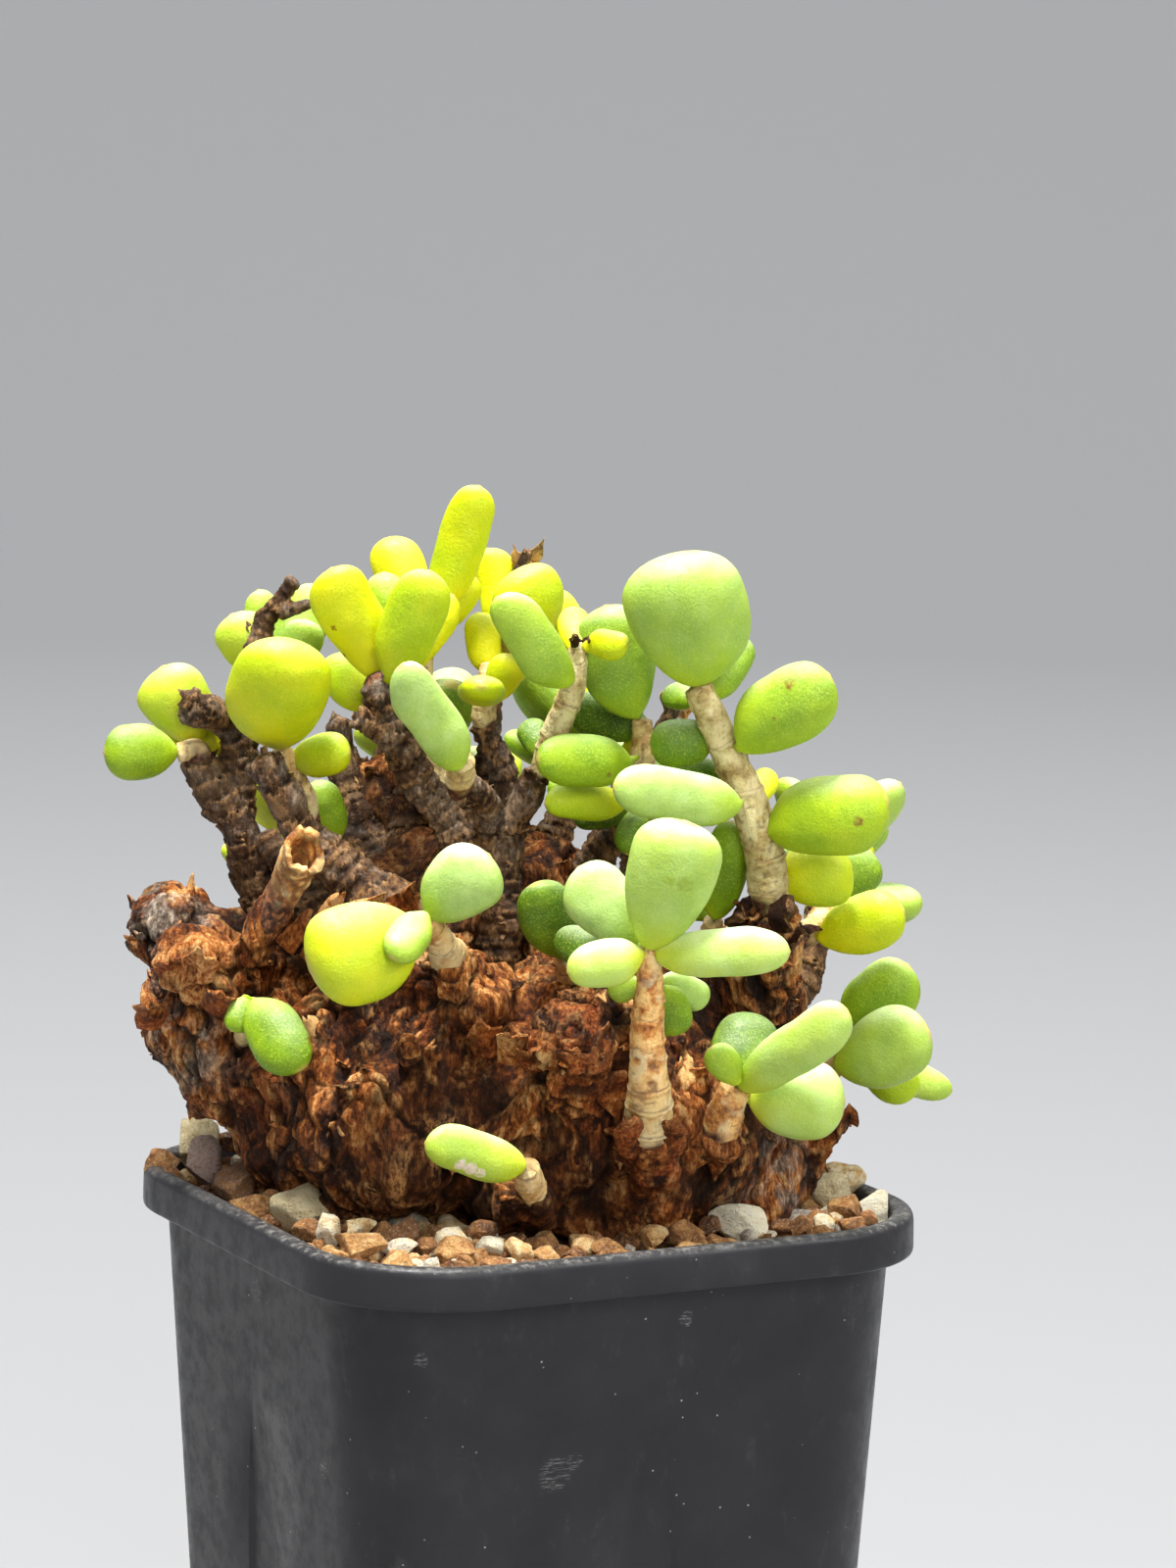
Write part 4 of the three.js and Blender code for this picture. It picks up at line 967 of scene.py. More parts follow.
# Old limbs: route in pixels and depths, radii
LIMBS = [
    ([(300, 1010, 4), (275, 930, 6), (240, 840, 6), (215, 800, 6), (205, 775, 6)], [4.4, 3.0, 2.4, 2.1]),
    ([(245, 850, 7), (242, 780, 7), (225, 733, 5), (190, 722, 3)], [2, 1.7, 1.5, 2]),
    ([(245, 800, 8), (250, 700, 9), (268, 640, 9), (300, 591, 8)], [1.8, 1.6, 1.3, 1]),
    ([(286, 625, 8), (317, 617, 7)], [0.9, 0.7]),
    ([(420, 960, -6), (370, 906, -6), (304, 842, -5), (268, 775, -5)], [4.4, 2.7, 2.0, 2.1]),
    ([(330, 940, 1), (286, 876, 3), (272, 852, 4)], [3.2, 2.0, 1.2]),
    ([(480, 930, 2), (470, 850, 0), (430, 800, -1), (400, 740, -2), (386, 700, -2)],
     [3.4, 2.6, 2.4, 2, 1.9]),
    ([(405, 760, -2), (364, 732, -4)], [1.4, 1.3]),
    ([(513, 1000, -3), (511, 900, -2), (505, 830, -1)], [2.7, 2.3, 2.2]),
    ([(506, 850, -1), (490, 815, -5), (470, 798, -8)], [2, 1.7, 1.6]),
    ([(512, 870, 0), (520, 805, 4), (492, 740, 5)], [2, 1.6, 1.4]),
    ([(512, 880, -1), (540, 812, -3), (549, 790, -4)], [2, 1.8, 1.6]),
    ([(560, 990, 2), (595, 900, 3), (640, 840, 2)], [3, 2.2, 1.6]),
    ([(590, 920, 6), (620, 850, 8), (690, 722, 6)], [2, 1.3, 0.9]),
    ([(480, 900, 9), (500, 740, 12), (510, 620, 12), (540, 562, 12)], [2.6, 1.6, 1, 0.7]),
    ([(420, 960, 4), (385, 880, 10), (356, 800, 13), (345, 735, 14)], [5, 3.2, 2, 1.4]),
    ([(450, 960, 6), (425, 880, 10), (415, 800, 12)], [5, 4, 2.2]),
]

# Collars, spurs and knobs low on the body: route in pixels and depths, radii
SPURS = [
    ([(235, 1000, -2), (182, 975, -8)], [4.2, 3.4]),
    ([(210, 970, 3), (194, 908, 4)], [3.4, 1.1]),
    ([(235, 1000, -4), (262, 962, -8), (280, 925, -10)], [2.6, 2.1, 1.6]),
    ([(745, 1060, 0), (775, 1000, -5), (788, 930, -8)], [6, 4.6, 3.4]),
    ([(760, 990, -3), (825, 945, -4)], [2.6, 1.6]),
    ([(660, 1195, -16), (662, 1155, -24)], [4, 3]),
    ([(715, 1190, -10), (737, 1155, -18)], [3.4, 2.3]),
    ([(545, 1245, -16), (545, 1222, -24)], [2.2, 1.8]),
    ([(515, 1230, -16), (519, 1226, -25)], [2, 1.5]),
    ([(810, 1205, -3), (866, 1141, -5)], [2, 0.9]),
    ([(770, 1130, -2), (828, 1105, -2)], [3, 2]),
    ([(600, 1085, -14), (586, 1055, -25)], [5.8, 4.6]),
    ([(690, 1100, -12), (690, 1060, -16)], [1.8, 1]),
    ([(425, 1100, -16), (418, 1066, -23)], [2, 1.1]),
]

# Limbs and stubs on the far side: route in places above the rim, radii
FAR_RADII = [3.4, 2.3, 1.7]
FAR_LIMBS = [
    ([(-12, 10, 10), (-22, 17, 20), (-24, 20, 28)], FAR_RADII),
    ([(0, 14, 12), (-3, 25, 22), (-6, 28, 30)], FAR_RADII),
    ([(12, 14, 12), (14, 24, 24), (11, 26, 36)], FAR_RADII),
    ([(20, 8, 10), (30, 14, 20), (32, 16, 28)], FAR_RADII),
    ([(2, 10, 16), (2, 16, 32), (5, 17, 42)], FAR_RADII),
    ([(-10, 8, 16), (-14, 14, 32), (-12, 16, 42)], FAR_RADII),
]
FAR_STUBS = [
    ([(-14, 12, 1), (-24, 22, 6)], [6, 3.2]),
    ([(6, 12, 0), (9, 25, 4)], [7, 3.8]),
    ([(20, 8, 2), (29, 18, 9)], [6, 3]),
]

# The root stock below the grit, likewise
ROOTS = [
    ([(-4, 2, 2), (-5, 3, -14), (-7, 5, -30)], [15, 9, 2.5]),
    ([(10, -2, 2), (12, -3, -12), (15, -6, -24)], [13, 7, 2]),
]

# Round scars of dropped limbs on the front: pixel and depth, radius, how tall their rings are
SCARS = [
    ((580, 1040, -27), 5.6, 0.8),
    ((455, 985, -19), 3.2, 0.4),
    ((418, 1066, -23), 2.6, 0.35),
    ((186, 985, -12), 3.4, 0.5),
]

# Places where the bark is tinted, rust and grey as its own colour and dark as painted shade, mostly low on
# the body and in the hollow behind the limbs: pixel and depth of the centre, reach
TINTS_AND_SHADE = {
    "rust": [((690, 1200, -22), 7), ((250, 1110, -14), 8), ((590, 1050, -26), 6), ((620, 1130, -24), 6),
             ((300, 1040, -16), 6), ((580, 1030, -28), 4), ((600, 1100, -26), 6)],
    "grey": [((160, 940, 0), 8), ((190, 1075, -6), 6), ((400, 930, -8), 8), ((780, 1200, -8), 7)],
    "dark": [((410, 1220, -20), 12), ((460, 1130, -20), 8), ((600, 1240, -22), 8), ((480, 960, 6), 14),
             ((405, 880, 6), 14), ((202, 985, -12), 3)],
}

# The broken stub with a hollow end: its route and radii, how deep and wide the hollow is, and its slant
STUB_ROUTE = [(268, 952, -9.5), (288, 912, -11.5), (301, 886, -13), (311, 868, -14.5)]
STUB_RADII = [1.7, 1.6, 1.9, 2.3]
STUB_HOLLOW = 4
STUB_BORE = 0.66
STUB_SLANT = 1.5 * TO_VIEWER + np.array([0.7, 0, 0])

# Torn scales of bark: pixel and depth of the root and of the tip, width, curl, kind
TORN = [
    ((286, 970, -12), (318, 932, -12), 2.2, 0.5, "rust"),
    ((318, 956, -12), (350, 912, -11), 2.0, 0.6, "pale"),
    ((318, 992, -14), (352, 930, -15), 4.6, 0.8, "rust"),
    ((345, 960, -13), (392, 914, -14), 4.4, 0.8, "pale"),
    ((318, 1000, -15), (372, 962, -18), 4.2, 1.1, "rust"),
    ((392, 950, -13), (424, 905, -13), 3.4, 1.0, "rust"),
    ((762, 946, -9), (738, 922, -12), 2.6, 1.6, "dark"),
    ((780, 930, -11), (828, 934, -13), 3.6, 1.9, "dark"),
    ((796, 950, -9), (826, 974, -11), 3.2, 1.7, "dark"),
    ((776, 958, -10), (756, 980, -13), 2.6, 1.5, "dark"),
    ((792, 962, -10), (800, 1000, -13), 3.0, 1.4, "rust"),
    ((536, 584, 12), (552, 556, 11), 1.7, 0.5, "papery"),
    ((533, 586, 12), (525, 560, 12), 1.4, 0.5, "papery"),
    ((690, 736, 6), (683, 704, 5), 2.2, 0.6, "papery"),
    ((692, 734, 6), (705, 712, 6), 1.6, 0.6, "papery"),
    ((592, 662, -8), (583, 646, -9), 1.2, 1.2, "dark"),
    ((592, 660, -8), (604, 652, -9), 1.2, 1.2, "dark"),
    ((502, 1084, -20), (490, 1036, -22), 3.8, 0.9, "rust"),
    ((528, 1092, -21), (520, 1040, -24), 3.6, 1.0, "pale"),
    ((550, 1100, -22), (540, 1056, -26), 3.2, 1.0, "rust"),
    ((190, 934, 1), (195, 900, 2), 1.3, 0.3, "grey"),
    ((178, 1004, -9), (168, 970, -11), 3.2, 1.2, "rust"),
    ((646, 1188, -25), (641, 1146, -28), 3.0, 0.3, "rust"),
    ((682, 1188, -24), (688, 1142, -27), 3.2, 0.4, "rust"),
    ((198, 1008, -10), (208, 966, -12), 3.4, 0.9, "pale"),
    ((158, 1056, -6), (150, 1018, -8), 3.4, 0.9, "rust"),
    ((216, 1040, -13), (230, 1004, -15), 3.2, 1.1, "rust"),
]
TORN_LOOKS = {
    "pale": {"rust": 0.2, "grey": 0.1, "dark": 0, "shade": 0.9, "bright": 0.4},
    "rust": {"rust": 0.7, "grey": 0, "dark": 0, "shade": 0.5, "bright": 0},
    "dark": {"rust": 0.1, "grey": 0, "dark": 0.9, "shade": 0.1, "bright": 0},
    "grey": {"rust": 0, "grey": 1, "dark": 0, "shade": 0.8, "bright": 0.2},
    "papery": {"rust": 0, "grey": 1, "dark": 0, "shade": 1, "bright": 0.8},
}

# Size of the cells that the woody pieces are grown together in, and the most triangles of a piece
BODY_VOXEL = 0.27
LIMB_VOXEL = 0.26
MOST_TRIANGLES = 192000

# Steps along tubes and sides round them
LIMB_STEP = 0.9
STUB_STEP = 0.16
STEM_STEP = 0.13
LIMB_SIDES = 18
STUB_SIDES = 48
STEM_SIDES = 36

# How far a tube's free end bulges, as a share of its radius, and how far a sunk end reaches on
DOME = 0.35
SUNK_END = 0.3

# Loose flakes: how many, and their usual length
BODY_FLAKES = 430
BODY_FLAKE_LENGTH = 1.7
LIMB_FLAKES = 260
LIMB_FLAKE_LENGTH = 1.0

# How high above the rim loose flakes begin, how deep a flake's root is sunk, how thick its tip is,
# and how much longer a torn scale is than it looks from the front
FLAKES_FROM = 0.5
FLAKE_SUNK = 0.35
FLAKE_THICKNESS = 0.14
TORN_STRETCH = 1.15


def limb_tube(points, radii):
    """A round limb with an even surface, closed by low domes."""
    places, tangents, run = route(points, LIMB_STEP)
    radius = widths_along(radii, run)
    rings = places[:, None] + radius[:, None, None] * spokes_along(tangents, circle(LIMB_SIDES))
    ends = [places[0] - tangents[0] * DOME * radius[0], places[-1] + tangents[-1] * DOME * radius[-1]]
    return np.concatenate([rings.reshape(-1, 3), ends]), grid_faces(len(places), LIMB_SIDES)


def grown_together(heap, name, voxel):
    """Makes one even skin of a heap of overlapping shapes."""
    piece = face_out(heap.build(name))
    modified(piece, "REMESH", mode="VOXEL", voxel_size=voxel * MM)
    modified(piece, "SMOOTH", factor=0.5, iterations=3)
    return piece


def trimmed(piece):
    """Merges the flattest faces of a fine mesh, down to the most triangles set for a piece."""
    count = sum(len(face.vertices) - 2 for face in piece.data.polygons)
    if count > MOST_TRIANGLES:
        modified(piece, "DECIMATE", ratio=MOST_TRIANGLES / count)
    smooth(piece)


def sawtooth(x):
    """Layers like shingles: the way up a layer, how near its edge it is, and how near its foot."""
    step = x - np.floor(x)
    return step, smoothstep(0.62, 0.9, step), 1 - smoothstep(0.0, 0.2, step)


def valley(p, length, seed, width):
    """Thin wandering lines: 1 in the line, 0 from its width on."""
    return 1 - smoothstep(0, width, np.abs(smooth_noise(p, length, seed)))


def torn_bark(p, share, scale):
    """The relief of flaking bark, with painted shade for its hollows, a painted highlight for its raised
    edges, and a shade of colour for each plate.
    """
    swirl = wander(p, 6.0 * scale, 91) + 0.35 * wander(p, 1.6 * scale, 94)
    q = lengthwise(p + 1.7 * scale * swirl, share)
    tone, border, tilt = plates(q, 2.9 * scale, 21)
    small_tone, small_border, small_tilt = plates(q + 0.3 * swirl, 1.15 * scale, 31)
    crack = 1 - smoothstep(0.02, 0.17, border)
    slit = 1 - smoothstep(0.02, 0.22, small_border)
    deep = valley(lengthwise(p + 2.4 * swirl, 0.4), 6.0 * scale, 23, 0.13)
    line = valley(lengthwise(p + 1.2 * swirl, 0.2), 1.5 * scale, 25, 0.16)
    thread = fractal(q * np.array([1.6, 1.6, 0.5]), 0.75 * scale, 2, 51)
    rough = 1 - 0.65 * smoothstep(-0.15, 0.25, smooth_noise(p, 9 * scale, 27))
    push = 0.42 * (tone - 0.5) + 0.36 * tilt - 0.36 * crack
    push += 0.16 * (small_tone - 0.5) + 0.2 * small_tilt - 0.12 * slit + 0.16 * thread
    push = push * rough - 0.8 * deep * (0.4 + 0.6 * rough) - 0.14 * line
    # Painted shade for the cracks between plates, the slits and the deep furrows.
    hollow = np.clip((0.75 * crack + 0.3 * slit) * (0.35 + 0.65 * rough) + 0.95 * deep + 0.3 * line, 0, 1)
    # Painted highlight on the raised, tilted edges of the plates.
    edge = smoothstep(0.1, 0.5, tilt) * (1 - crack) + 0.7 * smoothstep(0.12, 0.45, small_tilt) * (1 - slit)
    shade = 0.6 * tone + 0.4 * small_tone
    return push * scale, hollow, np.clip(edge, 0, 1), shade


def caudex_body():
    """The swollen woody body with its spurs and roots, worked into folded, flaking bark."""
    heap = Heap()
    ball, ball_faces = BALL[5]
    for pixel, radii in LUMPS:
        points = ball * radii + seen(*pixel)
        out = unit_rows(ball / radii)
        heap.add(points + out * (LUMP_RELIEF * lumpiness(points))[:, None], ball_faces)
    for points, radii in placed(SPURS, seen) + placed(FAR_STUBS + ROOTS, above):
        heap.add(*limb_tube(points, radii))
    piece = grown_together(heap, "caudex_wood", BODY_VOXEL)
    data = piece.data
    p, normal = points_and_normals(data)
    push, hollow, edge, shade = torn_bark(p, 0.42, 1.25)
    broad = fractal(p, 8, 2, 11)
    fold = smooth_noise(lengthwise(p + 2 * smooth_noise(p, 9, 15)[:, None], 0.35), 4.2, 17)
    push += 0.9 * broad + 1.1 * (np.abs(fold) ** 0.8 - 0.3)
    strayed = p + 0.9 * wander(p, 2.2, 81)
    broken = smoothstep(-0.8, 0.0, smooth_noise(p, 2.6, 84))
    for pixel, reach, tall in SCARS:
        d = np.linalg.norm(strayed - seen(*pixel), axis=1) / reach
        near = 1 - smoothstep(0.55, 1.1, d)
        ring, ring_edge, ring_foot = sawtooth(d * 3.2)
        push = push * (1 - 0.7 * near) + near * broken * tall * 1.6 * (1 - ring)
        # On the rings of the scars: a painted highlight on each raised crest, and painted shade in the
        # trough before the next.
        edge = np.maximum(edge * (1 - 0.6 * near), near * broken * ring_foot)
        hollow = np.maximum(hollow * (1 - 0.5 * near), near * broken * ring_edge * 0.8)
    above_grit = smoothstep(-4, 0, p[:, 2] - POT_HEIGHT)
    place_points(data, p + normal * (push * (0.25 + 0.75 * above_grit))[:, None])
    # Rust and grey are the bark's own tints; dark is painted shade.
    for tint, spots in TINTS_AND_SHADE.items():
        ways = [np.linalg.norm(p - seen(*pixel), axis=1) / reach for pixel, reach in spots]
        store_all(data, **{tint: 1 - smoothstep(0.3, 1.2, np.min(ways, axis=0))})
    store_all(data, hollow=hollow, edge=edge, shade=shade)
    trimmed(piece)
    return finish_piece(piece, BARK, "bark", "caudex")


def caudex_limbs():
    """The old leafless limbs, ringed by the scars of dropped leaves and flaking."""
    heap = Heap()
    routes = placed(LIMBS, seen) + placed(FAR_LIMBS, above)
    for points, radii in routes:
        heap.add(*limb_tube(points, radii))
    piece = grown_together(heap, "caudex_limbs", LIMB_VOXEL)
    data = piece.data
    p, normal = points_and_normals(data)
    axis, along, radius = [], [], []
    for k, (points, radii) in enumerate(routes):
        places, _, run = route(points, 0.5)
        axis.append(places)
        along.append(run + 40 * k)
        radius.append(widths_along(radii, run))
    axis, along, radius = (np.concatenate(parts) for parts in (axis, along, radius))
    tree = KDTree(len(axis))
    for i, place in enumerate(axis):
        tree.insert(Vector(place), i)
    tree.balance()
    index = np.array([tree.find(Vector(place))[1] for place in p])
    run = along[index]
    thick = radius[index]
    local = p - axis[index] + 0.4 * run[:, None] * unit(np.array([0.4, 0.3, 0.9]))
    push, hollow, edge, shade = torn_bark(local, 1, 0.62)
    segment = run / (1.5 + 0.45 * thick) + 0.34 * smooth_noise(p, 3.0, 61) + 0.16 * smooth_noise(p, 1.0, 71)
    ring, ring_edge, ring_foot = sawtooth(segment)
    number = np.floor(segment).astype(np.int64)
    shade = 0.5 * shade + 0.5 * hashed(np.stack([number, number * 3, number * 7], 1), 5)
    knuckle = smooth_noise(p, 3.4, 13)
    slim = np.clip(thick / 2.2, 0.35, 1)
    push = push * 0.45 + 0.75 * knuckle + 0.32 * (ring - 0.5) - 0.2 * ring_foot
    place_points(data, p + normal * (push * slim)[:, None])
    height = p[:, 2] - POT_HEIGHT
    store_all(
        data,
        rust=0.6 * (1 - smoothstep(4, 16, height)),
        grey=0.6 * smoothstep(24, 46, height),
        # Painted shade on the limbs that lie about 0 to 16 mm behind the middle, in the hollow between them.
        dark=smoothstep(-2, 6, p[:, 1]) * (1 - smoothstep(10, 16, p[:, 1])) * 0.9,
        # Painted shade at the feet of the rings and in the cracks, and a painted highlight on the raised
        # ring edges.
        hollow=np.maximum(hollow * 0.45, ring_foot * 0.85),
        edge=np.maximum(edge * 0.6, ring_edge * 0.6),
        shade=shade,
    )
    trimmed(piece)
    return finish_piece(piece, OLD_BARK, "bark", "caudex")


def flake(heap, place, normal, ahead, length, width, curl, seed, fine=1, bright=0.0, **values):
    """A torn scale of bark: rooted at one end, curling away and ragged at the other."""
    rng = np.random.default_rng(seed)
    ahead = unit(ahead - normal * (ahead @ normal))
    side = np.cross(normal, ahead)
    rows, cols = 6 * fine + 1, 4 * fine + 1
    u = np.linspace(0, 1, rows)[:, None]
    v = np.linspace(-1, 1, cols)[None, :]
    torn_end = np.interp(v, np.linspace(-1, 1, 5), rng.uniform(-1, 1, 5))
    torn_side = np.interp(u, np.linspace(0, 1, 5), rng.uniform(-1, 1, 5))
    ragged = 1 + u * (0.2 * torn_end - 0.18 * v ** 2)
    half = width / 2 * np.sqrt(1 - 0.8 * u ** 5) * (1 + 0.2 * torn_side)
    turn = curl * u ** 1.3
    forward = np.cumsum(np.cos(turn), axis=0) / rows * length * ragged
    rise = np.cumsum(np.sin(turn), axis=0) / rows * length * ragged
    rise = rise - FLAKE_SUNK - 0.3 * width * v ** 2 * (1 - 0.4 * u)
    top = place + forward[..., None] * ahead + (half * v)[..., None] * side + rise[..., None] * normal
    top = top.reshape(-1, 3)
    away = np.repeat(np.cos(turn), cols)[:, None] * normal - np.repeat(np.sin(turn), cols)[:, None] * ahead
    top = top + away * (0.14 * smooth_noise(top, 1.1, 7) + 0.06 * smooth_noise(top, 0.4, 8))[:, None]
    under = top - away * np.repeat(FLAKE_THICKNESS + 0.3 * (1 - u), cols)[:, None]
    faces = []
    for r in range(rows - 1):
        for c in range(cols - 1):
            a = r * cols + c
            faces.append((a, a + 1, a + cols + 1, a + cols))
            faces.append(tuple(i + rows * cols for i in (a, a + cols, a + cols + 1, a + 1)))
    rim = [*range(cols), *(r * cols + cols - 1 for r in range(1, rows))]
    rim += [(rows - 1) * cols + c for c in range(cols - 2, -1, -1)]
    rim += [r * cols for r in range(rows - 2, 0, -1)]
    for a, b in zip(rim, rim[1:] + rim[:1]):
        faces.append((b, a, a + rows * cols, b + rows * cols))
    # The lifted end and sides get a painted highlight, weaker on the underside; bright adds the own pale
    # colour of papery scales.
    pale = np.maximum(smoothstep(0.6, 1, u), smoothstep(0.7, 1, np.abs(v)) * u).ravel()
    pale = np.maximum(pale, bright)
    edge = np.concatenate([pale, pale * 0.4])
    heap.add(np.concatenate([top, under]), faces, edge=edge, hollow=0, **values)


def flakes(name, wood, shader, count, size, seed):
    """Loose scales of bark all over a woody piece."""
    rng = np.random.default_rng(seed)
    p, normal = points_and_normals(wood.data)
    # Each flake takes the tints of the bark under it, painted shade included.
    tints = {}
    for key in TINTS_AND_SHADE:
        tints[key] = np.empty(len(p), np.float32)
        wood.data.attributes[key].data.foreach_get("value", tints[key])
    heap = Heap()
    for i in rng.choice(np.flatnonzero(p[:, 2] > POT_HEIGHT + FLAKES_FROM), count, replace=False):
        spin = rng.uniform(-0.8, 0.8)
        updown = 1 if rng.uniform() < 0.6 else -1
        side = unit(np.cross(normal[i], UP) + 1e-3)
        ahead = UP * updown * math.cos(spin) + side * math.sin(spin) + 0.05
        length = size * rng.uniform(0.7, 1.9)
        flake(heap, p[i], normal[i], ahead, length, length * rng.uniform(0.4, 0.85),
              rng.uniform(0.2, 1.3), int(rng.integers(1 << 30)),
              shade=rng.uniform(0.2, 1), **{key: float(values[i]) for key, values in tints.items()})
    finish_piece(heap.build(name), shader, "bark", "caudex")


def torn_scales():
    """The larger torn scales, where the photograph shows them."""
    heap = Heap()
    for k, (root, tip, width, curl, kind) in enumerate(TORN):
        start = seen(*root)
        along = seen(*tip) - start
        facing = unit(TO_VIEWER - unit(along) * (TO_VIEWER @ unit(along)))
        length = np.linalg.norm(along) * TORN_STRETCH
        flake(heap, start, facing, along, length, width, curl, SEED + 31 * k, fine=3, **TORN_LOOKS[kind])
    finish_piece(heap.build("torn_scales"), BARK, "bark", "caudex")


def broken_stub():
    """A hollow stub of an old limb, open and ragged at its end."""
    places, tangents, run = route([seen(*point) for point in STUB_ROUTE], STUB_STEP)
    turns = circle(STUB_SIDES)
    deep = np.flatnonzero(run > run[-1] - STUB_HOLLOW)[::-1]
    order = np.concatenate([np.arange(len(run)), deep])
    bore = np.arange(len(order)) >= len(run)
    spokes = spokes_along(tangents, turns)[order]
    width = widths_along(STUB_RADII, run)[order] * np.where(bore, STUB_BORE, 1)
    jag = 0.35 * np.sin(2 * turns + 1) + 0.3 * np.sin(5 * turns) + 0.16 * np.sin(11 * turns + 2)
    jag = jag - spokes[len(run) - 1] @ STUB_SLANT
    near_end = smoothstep(run[-1] - 3.5, run[-1], run[order])
    rings = places[order, None] + spokes * width[:, None, None]
    rings = rings + (near_end[:, None] * jag)[..., None] * tangents[-1]
    body = rings.reshape(-1, 3)
    groove = fractal(lengthwise(body, 0.4), 0.9, 3, 7)
    body = body + spokes.reshape(-1, 3) * (0.3 * groove + 0.15 * smooth_noise(body, 2.2, 9))[:, None]
    inside = np.repeat(bore, len(turns))
    foot = np.repeat(1 - smoothstep(4.0, 8.5, run[order]), len(turns))
    ends = [places[0] - tangents[0] * SUNK_END, places[deep[-1]]]
    heap = Heap()
    # The low grooves get painted shade through the scar value; the ridges get the pale papery skin.
    heap.add(
        np.concatenate([body, ends]), grid_faces(len(order), len(turns)),
        scar=np.append(smoothstep(0.2, -0.25, groove) * 0.8, [0, 0]),
        paper=np.append(smoothstep(0.15, 0.3, groove) * 1.3 * ~inside, [0, 0]),
        age=np.append(np.where(inside, 1.3, 0.9), [0, 1]),
        foot=np.append(foot, [1, 0]),
    )
    finish_piece(face_out(heap.build("broken_stub")), STEM_SKIN, "bark", "caudex")
